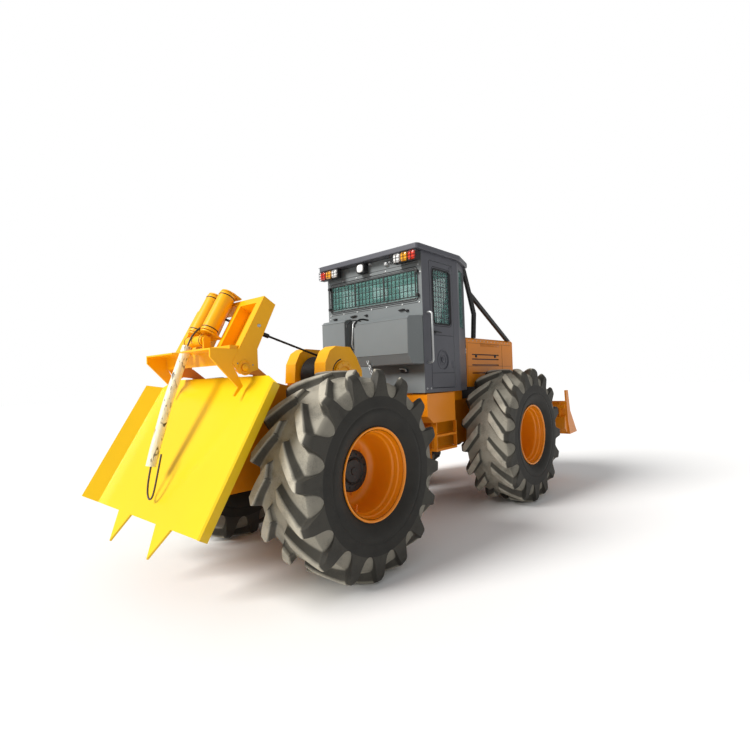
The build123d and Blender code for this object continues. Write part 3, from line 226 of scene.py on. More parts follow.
def axis_of(node: str) -> tuple[Array, Array, float]:
    """A round CAD node's middle, its axis and half its length along the axis, from its own corners."""
    shape = frame["nodes"][node]
    corners = np.array([shape.matrix_world @ v.co for v in shape.data.vertices])
    middle = corners.mean(0)
    axis = np.linalg.svd(corners - middle, full_matrices=False)[2][0]
    along = (corners - middle) @ axis
    middle = middle + axis * (along.max() + along.min()) / 2
    along = (corners - middle) @ axis
    return middle, axis * np.sign(axis[2] + 0.5 * axis[1] + 1e-6), float(along.max())


def quad_grid(rows: int, columns: int, wrap_rows: bool = False, wrap_columns: bool = False) -> Array:
    """Faces of a grid of points numbered row by row: each joins (i, j), (i, j+1), (i+1, j+1), (i+1, j)."""
    i = np.arange(rows if wrap_rows else rows - 1)[:, None]
    j = np.arange(columns if wrap_columns else columns - 1)[None, :]
    right, below = (j + 1) % columns, (i + 1) % rows
    corners = [i * columns + j, i * columns + right, below * columns + right, below * columns + j]
    return np.stack([c + 0 * i + 0 * j for c in corners], -1).reshape(-1, 4)


def sleeve(points: Array) -> Surface:
    """Rings of points, (rows, columns, 3), joined row to row and capped at both ends."""
    rows, columns = points.shape[:2]
    surface = Surface().add(points, quad_grid(rows, columns, wrap_columns=True))
    surface.faces.append(list(range(columns))[::-1])
    surface.faces.append([(rows - 1) * columns + k for k in range(columns)])
    return surface


def unit(vector: Array) -> Array:
    """A vector, or each row of an array of them, at length one."""
    vector = np.asarray(vector, float)
    return vector / np.linalg.norm(vector, axis=-1, keepdims=True)


def turns(count: int) -> Array:
    """That many angles spread evenly over a full turn."""
    return np.linspace(0, FULL_TURN, count, endpoint=False)


def arc(angles: Array, radius: float = 1.0) -> Array:
    """Points of a circle that stands across Y, at each angle."""
    return radius * np.stack([np.cos(angles), 0 * angles, np.sin(angles)], 1)


def turned(profile: Array, centre: Array, axis: Array, segments: int) -> Array:
    """A profile turned about an axis: centre + along * axis + radius * (cos a * u + sin a * v).

    Args:
        profile: (n, 2) rows of (along, radius), running so that the outside is on its left.
        centre: where along is nought.
        axis: the direction of along.
        segments: steps of the turn.

    Returns:
        (n, segments, 3) points.
    """
    profile = np.asarray(profile, float)
    axis = unit(axis)
    u = unit(np.cross(axis, UP if abs(axis[2]) < 0.9 else ALONG_X))
    v = np.cross(axis, u)
    angle = turns(segments)
    ring = np.cos(angle)[:, None] * u + np.sin(angle)[:, None] * v
    radius = np.maximum(profile[:, 1], 1e-5)
    return centre + profile[:, 0, None, None] * axis + radius[:, None, None] * ring[None]


def lathe(profile: Array, centre: Array, axis: Array, segments: int) -> Surface:
    """A turned profile, closed at both ends; the arguments are those of turned."""
    return sleeve(turned(profile, centre, axis, segments))


def ring_lathe(profile: Array, centre: Array, axis: Array, segments: int) -> Surface:
    """A turned profile whose last row meets its first; the arguments are those of turned."""
    faces = quad_grid(len(profile), segments, wrap_rows=True, wrap_columns=True)
    return Surface().add(turned(profile, centre, axis, segments), faces)


def rings_along(path: Array, tangent: Array, radius: float | Array, sides: int, reference: Array) -> Array:
    """Circles of points across a path.

    Args:
        path: (n, 3) points.
        tangent: the path's direction at each point.
        radius: one radius, or one for each point.
        sides: corners of each circle.
        reference: a direction that no part of the path runs along.

    Returns:
        (n, sides, 3) points.
    """
    side = unit(np.cross(tangent, np.asarray(reference, float)))
    up = np.cross(tangent, side)
    angle = turns(sides)
    ring = np.cos(angle)[None, :, None] * side[:, None] + np.sin(angle)[None, :, None] * up[:, None]
    return path[:, None] + np.broadcast_to(radius, len(path))[:, None, None] * ring


def tube(path: Array, radius: float, sides: int = 10, reference: Array = ALONG_Y) -> Surface:
    """A round bar along a path, closed at both ends; the arguments are those of rings_along."""
    path = np.asarray(path, float)
    return sleeve(rings_along(path, unit(np.gradient(path, axis=0)), radius, sides, reference))


def hoop(path: Array, radius: float, sides: int = 8, reference: Array = ALONG_X) -> Surface:
    """A round bar along a path whose end meets its start; the arguments are those of rings_along."""
    path = np.asarray(path, float)
    tangent = unit(np.roll(path, -1, 0) - np.roll(path, 1, 0))
    faces = quad_grid(len(path), sides, wrap_rows=True, wrap_columns=True)
    return Surface().add(rings_along(path, tangent, radius, sides, reference), faces)


def rounded_loop(centre: Array, along: Array, up: Array, half: Pair, corner: float) -> Array:
    """Points round a rectangle with rounded corners.

    Args:
        centre: its middle.
        along: the direction of its first side.
        up: the direction of its second side.
        half: half of each side.
        corner: the corners' radius.

    Returns:
        (n, 3) points, the first not repeated.
    """
    turn = np.linspace(0, np.pi / 2, 6)
    rows = []
    for quarter, (a, b) in enumerate(((1, 1), (-1, 1), (-1, -1), (1, -1))):
        angle = turn + quarter * np.pi / 2
        rows.append(np.stack([a * (half[0] - corner) + corner * np.cos(angle),
                              b * (half[1] - corner) + corner * np.sin(angle)], 1))
    flat = np.concatenate(rows)
    return np.asarray(centre, float) + flat[:, :1] * unit(along) + flat[:, 1:] * unit(up)


def copies(surface: Surface, places: Array) -> Surface:
    """The same surface moved to each of several places, as one.

    Args:
        surface: the surface to repeat, about its own origin.
        places: (n, 3) shifts.

    Returns:
        Every copy, gathered.
    """
    points = np.concatenate(surface.points)
    made = Surface()
    for place in np.asarray(places, float).reshape(-1, 3):
        made.add(points + place, surface.faces)
    return made


def bolt_heads(axis: Array, size: float, spots: Array) -> Surface:
    """Washers with hexagon heads whose rims fall away: profiles turned in 20 and in 6 steps.

    Args:
        axis: the way that the heads stand out.
        size: the washer's radius, nearly.
        spots: (n, 3) places.

    Returns:
        All of the heads.
    """
    washer = np.array([(0, 0.95), (0.16, 0.95), (0.2, 0.86), (0.2, 0)]) * size
    head = np.array([(0.18, 0.62), (0.62, 0.62), (0.72, 0.5), (0.72, 0)]) * size
    bolt = lathe(washer, np.zeros(3), axis, 20).join(lathe(head, np.zeros(3), axis, 6))
    return copies(bolt, spots)


def pillow(
    centre: Array, along: Array, up: Array, half: Pair, depth: float, power: float, ribs: float = 0.0
) -> Surface:
    """A domed plate: |a / A|^p + |b / B|^p = r^p, of height depth * sqrt(1 - r^4), on a flat back.

    Args:
        centre: the back's middle.
        along: the direction of a.
        up: the direction of b; the plate is domed towards along x up.
        half: A and B.
        depth: height of the dome.
        power: p, from 2 for an ellipse towards a rectangle.
        ribs: depth of ribs across a, as a share of the dome's height.

    Returns:
        The closed plate.
    """
    segments, rings = 48, 9
    along, up = unit(along), unit(up)
    angle = turns(segments)
    reach = (np.abs(np.cos(angle)) ** power + np.abs(np.sin(angle)) ** power) ** (-1 / power)
    share = np.sin(np.linspace(np.pi / 2, 0.06, rings))[:, None]
    a = share * reach * np.cos(angle) * half[0]
    b = share * reach * np.sin(angle) * half[1]
    height = depth * np.sqrt(np.clip(1 - share ** 4, 0, 1)) * (1 + ribs * np.cos(a / half[0] * 22))
    flat = np.asarray(centre, float) + a[..., None] * along + b[..., None] * up
    return sleeve(flat + height[..., None] * np.cross(along, up))


def rear_pad(centre: Array, half: Pair, depth: float, power: float, ribs: float = 0.0) -> Surface:
    """A pillow that stands on a face looking backward; the arguments are those of pillow."""
    return pillow(centre, (0, -1, 0), UP, half, depth, power, ribs)


def side_pad(hand: int, centre: Array, half: Pair, depth: float, power: float) -> Surface:
    """A pillow that stands on a face of one side; the other arguments are those of pillow."""
    return pillow(centre, (-hand, 0, 0), UP, half, depth, power)


def cushion(centre: Array, half: Array, along: Array, up: Array) -> Surface:
    """A stuffed pad: a superellipsoid whose seams pull in a little.

    Args:
        centre: its middle.
        half: half its size along, across and up.
        along: its fore and aft direction.
        up: its thin direction.

    Returns:
        The closed pad.
    """
    rows, columns, squareness, pole = 21, 44, 0.35, np.pi / 2 - 0.02
    along, up = unit(along), unit(up)
    v = np.linspace(-pole, pole, rows)[:, None]
    u = turns(columns)[None]

    def bend(share: Array, power: float = squareness) -> Array:
        return np.sign(share) * np.abs(share) ** power

    a = bend(np.cos(v)) * bend(np.cos(u)) * half[0]
    b = bend(np.cos(v)) * bend(np.sin(u)) * half[1]
    c = bend(np.sin(v), squareness * 1.6) * half[2] * (1 - 0.06 * np.cos(4 * np.pi * b / (2 * half[1])))
    flat = np.asarray(centre, float) + a[..., None] * along + b[..., None] * np.cross(up, along)
    return sleeve(flat + c[..., None] * up)


# ---------------------------------------------------------------- shader groups


def wire(tree: Tree, node: Node, inputs: Sockets) -> None:
    """Set a node's inputs, by name or number, to values or to other nodes' output sockets."""
    for key, value in inputs.items():
        if isinstance(value, Socket):
            tree.links.new(value, node.inputs[key])
        else:
            node.inputs[key].default_value = value


def lay(tree: Tree, kind: str, inputs: Sockets | None = None, **settings: object) -> Node:
    """Add a shader node.

    Args:
        tree: where it goes.
        kind: its type's name after "ShaderNode".
        inputs: what wire gives its inputs.
        settings: the node's own properties.

    Returns:
        The new node.
    """
    made = tree.nodes.new(f"ShaderNode{kind}")
    for key, value in settings.items():
        setattr(made, key, value)
    wire(tree, made, inputs or {})
    return made


def noise(
    tree: Tree, place: Socket, scale: float, detail: float = 2.0,
    roughness: float = 0.5, distortion: float = 0.0,
) -> Socket:
    """A noise's value over coordinates.

    Args:
        tree: where the texture goes.
        place: the coordinates.
        scale: how often it repeats in a metre.
        detail: its octaves.
        roughness: the weight of the finer octaves.
        distortion: how far it folds over itself.

    Returns:
        The texture's value.
    """
    inputs = {
        "Vector": place, "Scale": scale, "Detail": detail, "Roughness": roughness, "Distortion": distortion,
    }
    return lay(tree, "TexNoise", inputs, noise_dimensions="3D").outputs["Fac"]


def remap(
    tree: Tree, value: object, span: tuple[object, object],
    onto: tuple[object, object] = (0.0, 1.0), **settings: object,
) -> Socket:
    """A value moved from one range onto another."""
    inputs = {"Value": value, "From Min": span[0], "From Max": span[1], "To Min": onto[0], "To Max": onto[1]}
    return lay(tree, "MapRange", inputs, **settings).outputs[0]


def maths(tree: Tree, operation: str, *terms: object, clamp: bool = False) -> Socket:
    """One operation over numbers or sockets."""
    return lay(tree, "Math", dict(enumerate(terms)), operation=operation, use_clamp=clamp).outputs[0]


def toned(tree: Tree, colour: object, factor: Socket) -> Socket:
    """A colour made lighter or darker by a factor."""
    return lay(tree, "VectorMath", {0: colour, "Scale": factor}, operation="SCALE").outputs[0]


def mixed(tree: Tree, share: object, first: object, second: object) -> Socket:
    """Two colours mixed by a share of the second."""
    return lay(tree, "Mix", {"Factor": share, "A": first, "B": second}, data_type="RGBA").outputs["Result"]


def object_place(tree: Tree) -> Socket:
    """Object coordinates, which ride with each piece."""
    return lay(tree, "TexCoord").outputs["Object"]


def emboss(tree: Tree, height: Socket, strength: float, depth: float) -> Sockets:
    """What a shader's Normal takes for a bump of that strength and depth in metres."""
    bump = lay(tree, "Bump", {"Strength": strength, "Distance": depth, "Height": height})
    return {"Normal": bump.outputs[0]}


def new_group(name: str, inputs: dict[str, object]) -> tuple:
    """An empty shader node group that gives a colour, a roughness and a height.

    Args:
        name: the group's name.
        inputs: each input's default: four numbers for a colour, one for a value.

    Returns:
        The tree, its inputs' sockets and its output node.
    """
    tree = bpy.data.node_groups.new(name, "ShaderNodeTree")
    for key, default in inputs.items():
        kind = "NodeSocketColor" if isinstance(default, tuple) else "NodeSocketFloat"
        tree.interface.new_socket(key, in_out="INPUT", socket_type=kind).default_value = default
    for key in ("Colour", "Roughness", "Height"):
        kind = "NodeSocketColor" if key == "Colour" else "NodeSocketFloat"
        tree.interface.new_socket(key, in_out="OUTPUT", socket_type=kind)
    return tree, tree.nodes.new("NodeGroupInput").outputs, tree.nodes.new("NodeGroupOutput")


class Effects:
    """Shader groups that several finishes share, each built once."""

    made: dict[str, Tree] = {}

    @classmethod
    def get(cls, name: str) -> Tree:
        """The group of that name, built when first asked for."""
        if name not in cls.made:
            cls.made[name] = getattr(cls, f"_{name}")()
        return cls.made[name]

    @staticmethod
    def _paint_film() -> Tree:
        """Sprayed enamel: broad unevenness of tone, faint orange peel, and dust that gathers low down."""
        tree, given, leave = new_group(
            "paint_film", {"Colour": (0.8, 0.3, 0.02, 1), "Dust": 0.2, "Roughness": 0.35, "Unevenness": 0.06}
        )
        place = object_place(tree)
        lightest = maths(tree, "ADD", 1.0, given["Unevenness"])
        darkest = maths(tree, "SUBTRACT", 1.0, given["Unevenness"])
        tone = remap(tree, noise(tree, place, 1.7, 3.0), (0.3, 0.7), (darkest, lightest))
        height = lay(tree, "SeparateXYZ", {0: place}).outputs["Z"]
        low = remap(tree, height, (1.5, 0.35), interpolation_type="SMOOTHSTEP")
        grit = remap(tree, noise(tree, place, 23.0, 8.0, 0.72), (0.46, 0.72))
        amount = maths(tree, "MULTIPLY", maths(tree, "MULTIPLY_ADD", low, 0.8, 0.2), grit)
        share = maths(tree, "MULTIPLY", amount, given["Dust"], clamp=True)
        dry_soil = (0.36, 0.30, 0.21, 1)
        peel = noise(tree, place, 260.0, 1.0)
        wire(tree, leave, {
            "Colour": mixed(tree, share, toned(tree, given["Colour"], tone), dry_soil),
            "Roughness": maths(tree, "MULTIPLY_ADD", share, 0.5, given["Roughness"], clamp=True),
            "Height": maths(tree, "MULTIPLY_ADD", noise(tree, place, 6.0), 3.0, peel),
        })
        return tree

    @staticmethod
    def _rubber_dust() -> Tree:
        """Dry soil on rubber: a mask from an attribute of the mesh, broken up by fine and coarse specks."""
        tree, given, leave = new_group(
            "rubber_dust", {"Rubber": (0.02, 0.02, 0.02, 1), "Soil": (0.5, 0.45, 0.38, 1), "Mask": 0.0}
        )
        place = object_place(tree)
        fine = noise(tree, place, 120.0, 6.0, 0.8)
        both = maths(tree, "MULTIPLY_ADD", noise(tree, place, 7.0, 4.0), 1.1, fine)
        cover = remap(tree, both, (0.72, 1.12), (0.45, 1.0))
        share = maths(tree, "MULTIPLY", cover, given["Mask"], clamp=True)
        wire(tree, leave, {
            "Colour": mixed(tree, share, given["Rubber"], given["Soil"]),
            "Roughness": remap(tree, share, (0.0, 1.0), (0.62, 0.95)),
            "Height": fine,
        })
        return tree


# ---------------------------------------------------------------- finishes


def linear(colour: Colour) -> tuple[float, float, float, float]:
    """An eight-bit display colour as linear light."""
    parts = [c / 255 for c in colour]
    return (*[p / 12.92 if p <= 0.04045 else ((p + 0.055) / 1.055) ** 2.4 for p in parts], 1.0)


@dataclass(frozen=True)
class Finish:
    """A plain finish: one colour with a slight grain. The other finishes build on it."""

    name: str
    colour: Colour
    roughness: float = 0.5
    metallic: float = 0.0

    def material(self) -> bpy.types.Material:
        """The finish's material, made when first asked for."""
        title = f"finish_{self.name}"
        found = bpy.data.materials.get(title)
        if found is None:
            found = bpy.data.materials.new(title)
            found.use_nodes = True
            self.build(found.node_tree, found.node_tree.nodes["Principled BSDF"])
        return found

    def build(self, tree: Tree, shader: Node) -> None:
        """Set the shader's sockets and lay its textures.

        Args:
            tree: the material's nodes.
            shader: its Principled shader.
        """
        wire(tree, shader, {"Metallic": self.metallic})
        self.grain(tree, shader, 90.0, 0.0004, 0.12)

    def grain(self, tree: Tree, shader: Node, scale: float, depth: float, tone: float) -> None:
        """Break up a colour, its roughness and its surface with one noise of Object coordinates.

        Args:
            tree: the material's nodes.
            shader: its Principled shader.
            scale: the noise's scale.
            depth: the bump's distance in metres.
            tone: how far the colour strays.
        """
        spread = 0.08
        grains = noise(tree, object_place(tree), scale, 6.0, 0.65)
        factor = remap(tree, grains, (0.25, 0.75), (1 - tone, 1 + tone))
        sheen = (max(0.0, self.roughness - spread), min(1.0, self.roughness + spread))
        wire(tree, shader, {
            "Base Color": toned(tree, linear(self.colour)[:3], factor),
            "Roughness": remap(tree, grains, (0.0, 1.0), sheen),
            **emboss(tree, grains, 0.35, depth),
        })


@dataclass(frozen=True)
class Paint(Finish):
    """Sprayed enamel over steel, with a coat and dust."""

    dust: float = 0.25
    coat: float = 0.14
    unevenness: float = 0.05

    def build(self, tree: Tree, shader: Node) -> None:
        """Lay the paint film's group and the coat; the arguments are those of Finish.build."""
        film = lay(tree, "Group", node_tree=Effects.get("paint_film"))
        wire(tree, film, {"Colour": linear(self.colour), "Dust": self.dust, "Roughness": self.roughness,
                          "Unevenness": self.unevenness})
        wire(tree, shader, {
            "Coat Weight": self.coat, "Coat Roughness": 0.12, "Specular IOR Level": 0.35,
            "Base Color": film.outputs["Colour"], "Roughness": film.outputs["Roughness"],
            **emboss(tree, film.outputs["Height"], 0.18, 0.0006),
        })


@dataclass(frozen=True)
class Rubber(Finish):
    """Tyre rubber, dusted where the mesh's soil attribute says; where that leaves the lugs' flanks and sides
    bare, the dark rubber is partly painted shade.
    """

    soil: Colour = (196, 190, 174)

    def build(self, tree: Tree, shader: Node) -> None:
        """Lay the rubber group over the mesh's mask; the arguments are those of Finish.build."""
        mask = lay(tree, "Attribute", attribute_name="soil").outputs["Fac"]
        dust = lay(tree, "Group", node_tree=Effects.get("rubber_dust"))
        wire(tree, dust, {"Rubber": linear(self.colour), "Soil": linear(self.soil), "Mask": mask})
        wire(tree, shader, {
            "Specular IOR Level": 0.28,
            "Base Color": dust.outputs["Colour"], "Roughness": dust.outputs["Roughness"],
            **emboss(tree, dust.outputs["Height"], 0.5, 0.0012),
        })


@dataclass(frozen=True)
class Glass(Finish):
    """Tinted safety glass: a thin see-through pane."""

    alpha: float = 0.55

    def build(self, tree: Tree, shader: Node) -> None:
        """Set a pane of slightly varied tint and clear gloss; the arguments are those of Finish.build."""
        self.grain(tree, shader, 3.0, 0.0, 0.25)
        wire(tree, shader, {"Alpha": self.alpha, "Coat Weight": 0.6, "Coat Roughness": 0.03})


@dataclass(frozen=True)
class Lens(Finish):
    """Moulded lamp plastic: an even colour under a clear gloss."""

    def build(self, tree: Tree, shader: Node) -> None:
        """Set a faintly uneven colour and a strong coat; the arguments are those of Finish.build."""
        self.grain(tree, shader, 40.0, 0.0001, 0.06)
        wire(tree, shader, {"Coat Weight": 0.9, "Coat Roughness": 0.04})


@dataclass(frozen=True)
class Film(Finish):
    """Crumpled packing film, with dirt in its folds."""

    dirt: Colour = (70, 60, 44)
    scale: float = 26.0

    def build(self, tree: Tree, shader: Node) -> None:
        """Fold the film and speck the folds with dirt; the arguments are those of Finish.build."""
        stretch = {"Scale": (1.0, 1.0, 0.42), "Vector": object_place(tree)}
        folds = noise(tree, lay(tree, "Mapping", stretch).outputs[0], self.scale, 5.0, distortion=1.4)
        specks = remap(tree, folds, (0.56, 0.66))
        wire(tree, shader, {
            "Base Color": mixed(tree, specks, linear(self.colour), linear(self.dirt)),
            "Roughness": self.roughness,
            **emboss(tree, folds, 0.8, 0.01),
        })


class Coat(Enum):
    """Every finish of the machine, by its plain name."""

    # The butt plate's enamel is the amber enamel made lighter and yellower, as painted light of the sun on
    # its rear face.
    AMBER_PAINTED_LIGHT = Paint("amber_enamel_painted_light", (232, 190, 1), 0.38, dust=0.01, unevenness=0.03)
    AMBER = Paint("amber_enamel", (246, 176, 2), 0.34, dust=0.05, unevenness=0.05)
    # The orange enamel of the frames, tanks, ladders, hood and blade is the amber enamel made darker and
    # redder, as painted shade on sides turned from the sun.
    AMBER_PAINTED_SHADE = Paint("amber_enamel_painted_shade", (224, 132, 4), 0.36, dust=0.10, unevenness=0.06)
    CAB_GREY = Paint("cab_grey_enamel", (112, 117, 118), 0.42, dust=0.08, unevenness=0.06)
    # The cab's dark grey enamel is partly the doors' and sides' own darker paint, partly painted shade on the
    # doors and sides turned from the sun.
    CAB_DARK = Paint("cab_dark_enamel_and_painted_shade", (80, 81, 88), 0.4, dust=0.08, unevenness=0.08)
    BLACK_PAINT = Paint("black_enamel", (24, 24, 26), 0.45, dust=0.2, unevenness=0.1)
    # The rims' enamel is the amber enamel made redder, as painted shade, since the rims face away from the
    # sun.
    RIM_PAINTED_SHADE = Paint("rim_enamel_painted_shade", (238, 140, 10), 0.32, dust=0.06, unevenness=0.04)
    HUB = Paint("hub_black", (20, 19, 19), 0.5, dust=0.12, unevenness=0.1)
    RUBBER = Rubber("tyre_rubber", (20, 19, 17), 0.7)
    SEAL = Finish("window_seal_rubber", (22, 22, 23), 0.7)
    GLASS = Glass("tinted_glass", (120, 172, 164), 0.05, alpha=0.42)
    STEEL = Finish("bare_steel", (150, 148, 144), 0.35, 0.9)
    CHROME = Finish("chromed_rod", (205, 206, 208), 0.16, 1.0)
    DARK_STEEL = Finish("oiled_steel", (52, 50, 48), 0.45, 0.7)
    ROPE = Finish("wire_rope_steel", (92, 84, 74), 0.5, 0.8)
    ROPE_DARK = Finish("greased_rope", (38, 36, 35), 0.5, 0.5)
    PALE_METAL = Finish("zinc_plate", (188, 190, 190), 0.38, 0.55)
    SEAM_BROWN = Finish("seam_shadow", (120, 72, 14), 0.6)
    LENS_CLEAR = Lens("lens_clear", (240, 240, 238), 0.12)
    LENS_AMBER = Lens("lens_amber", (250, 170, 28), 0.12)
    LENS_RED = Lens("lens_red", (226, 58, 34), 0.12)
    FILM = Film("stretch_film", (240, 232, 200), 0.3)
    FABRIC = Finish("seat_cloth", (38, 40, 44), 0.85)
    PLASTIC = Finish("black_plastic", (30, 30, 32), 0.5)

    def material(self) -> bpy.types.Material:
        """The finish's material."""
        return self.value.material()


# ---------------------------------------------------------------- studio


@dataclass
class Studio:
    """The floor, the world, the sun and the camera."""

    eye: Triple = (-2.7085, -3.5363, 1.4985)
    yaw: float = 41.3248
    pitch: float = 0.6989
    roll: float = -1.8737
    lens: float = 23.008
    floor_reach: float = 60.0
    floor_tone: float = 0.97
    fill: float = 0.43
    sun_energy: float = 4.0
    sun_width: float = 24.0
    sun_tint: Triple = (1.0, 0.985, 0.96)
    sun_towards: Triple = (0.86, -0.30, -0.60)

    def camera(self) -> None:
        """Stand the camera behind the machine's right rear wheel, looking forward and to the left."""
        yaw, pitch, roll = (math.radians(a) for a in (self.yaw, self.pitch, self.roll))
        ahead = Vector((math.cos(yaw) * math.cos(pitch), math.sin(yaw) * math.cos(pitch), math.sin(pitch)))
        right = ahead.cross(Vector((0, 0, 1))).normalized()
        up = right.cross(ahead)
        leant = math.cos(roll) * right + math.sin(roll) * up
        top = math.cos(roll) * up - math.sin(roll) * right
        lens = bpy.data.cameras.new("camera")
        lens.lens = self.lens
        lens.sensor_width = 36
        lens.clip_end = 200
        camera = bpy.data.objects.new("camera", lens)
        turn = Matrix((leant, top, -ahead)).transposed().to_4x4()
        camera.matrix_world = Matrix.Translation(from_axle(*self.eye)) @ turn
        bpy.context.scene.collection.objects.link(camera)
        bpy.context.scene.camera = camera

    def floor(self) -> None:
        """Lay a wide pale floor that the camera sees as white and that keeps the machine's shadow."""
        reach = self.floor_reach
        corners = [(-reach, -reach, 0), (reach, -reach, 0), (reach, reach, 0), (-reach, reach, 0)]
        mesh = bpy.data.meshes.new("floor")
        mesh.from_pydata(corners, [], [(0, 1, 2, 3)])
        floor = bpy.data.objects.new("floor", mesh)
        bpy.context.scene.collection.objects.link(floor)
        material = bpy.data.materials.new("floor_white")
        material.use_nodes = True
        wire(material.node_tree, material.node_tree.nodes["Principled BSDF"], {
            "Base Color": (self.floor_tone,) * 3 + (1,), "Roughness": 0.9, "Specular IOR Level": 0.1,
        })
        mesh.materials.append(material)

    def world(self) -> None:
        """A dim even sky for the fill, white where a camera or transmission ray meets it."""
        world = bpy.data.worlds.new("world")
        bpy.context.scene.world = world
        world.use_nodes = True
        tree = world.node_tree
        rays = lay(tree, "LightPath").outputs
        seen = maths(tree, "MAXIMUM", rays["Is Camera Ray"], rays["Is Transmission Ray"])
        strength = remap(tree, seen, (0.0, 1.0), (self.fill, 1.0))
        wire(tree, tree.nodes["Background"], {"Color": (1, 1, 1, 1), "Strength": strength})

    def sun(self) -> None:
        """A low and soft sun behind the machine's left rear corner."""
        sun = bpy.data.lights.new("sun", "SUN")
        sun.energy = self.sun_energy
        sun.angle = math.radians(self.sun_width)
        sun.color = self.sun_tint
        lamp = bpy.data.objects.new("sun", sun)
        lamp.rotation_euler = Vector(self.sun_towards).to_track_quat("-Z", "Y").to_euler()
        bpy.context.scene.collection.objects.link(lamp)

    def build(self) -> None:
        """Set the view transform and build everything of the studio."""
        bpy.context.scene.view_settings.view_transform = "Standard"
        self.camera()
        self.floor()
        self.world()
        self.sun()


# ---------------------------------------------------------------- plain dressing of the CAD nodes


@dataclass
class Bodywork:
    """The plates and housings whose CAD shape stays: each gets its finish and rounded edges."""

    plates: tuple[tuple[Coat, float, str], ...] = (
        (Coat.AMBER_PAINTED_LIGHT, 0.004, "butt_plate"),
        (Coat.AMBER, 0.004, "arch"),
        (Coat.AMBER, 0.003, "fairlead_frame fairlead_roller_left fairlead_roller_right"),
        (Coat.AMBER, 0.003, "fairlead_roller_lower"),
        (Coat.AMBER_PAINTED_SHADE, 0.003, "rear_frame front_frame"),
        (Coat.AMBER, 0.006, "winch_frame"),
        (Coat.DARK_STEEL, 0.003, "winch_drum"),
        (Coat.DARK_STEEL, 0.0, "main_line"),
        (Coat.CAB_GREY, 0.006, "cab_shell"),
        (Coat.CAB_DARK, 0.012, "cab_roof"),
        (Coat.PLASTIC, 0.01, "cab_fittings"),
        (Coat.FABRIC, 0.02, "seat"),
        (Coat.CAB_DARK, 0.004, "door_left door_right"),
        (Coat.CAB_GREY, 0.012, "rear_lockers"),
        (Coat.BLACK_PAINT, 0.0, "rear_screen"),
        (Coat.PLASTIC, 0.004, "rear_lamps"),
        (Coat.BLACK_PAINT, 0.0, "limb_risers"),
        (Coat.AMBER_PAINTED_SHADE, 0.008, "side_tanks"),
        (Coat.AMBER_PAINTED_SHADE, 0.002, "ladders"),
        (Coat.PALE_METAL, 0.0, "grab_rails"),
        (Coat.AMBER_PAINTED_SHADE, 0.003, "hood"),
        (Coat.BLACK_PAINT, 0.0, "radiator_grille"),
        (Coat.DARK_STEEL, 0.01, "engine_block"),
        (Coat.AMBER_PAINTED_SHADE, 0.004, "blade"),
        (Coat.BLACK_PAINT, 0.002, "blade_barrels steering_barrel_left steering_barrel_right"),
        (Coat.BLACK_PAINT, 0.002, "front_axle rear_axle"),
        (Coat.CHROME, 0.0, "blade_rods steering_rod_left steering_rod_right"),
    )
    panes: tuple[str, ...] = ("cab_glass", "door_glass_left", "door_glass_right")
    side_lean: float = 0.35

    def darken_sides_partly_as_painted_shade(self) -> None:
        """Paint the cab shell's sides and tapered corners as dark as its doors: partly the cab's own darker
        side paint, partly painted shade on faces turned away from the sun.
        """
        shell = bpy.data.objects["cab_shell_finished"]
        shell.data.materials.append(Coat.CAB_DARK.material())
        for face in shell.data.polygons:
            if abs(face.normal.y) > self.side_lean:
                face.material_index = 1

    def build(self) -> None:
        """Dress every plate and pane."""
        for coat, edge, nodes in self.plates:
            for node in nodes.split():
                cad_copy(node, coat, edge)
        self.darken_sides_partly_as_painted_shade()
        for node in self.panes:
            shape = frame["nodes"][node]
            shape.data.materials.clear()
            shape.data.materials.append(Coat.GLASS.material())


# ---------------------------------------------------------------- wheels


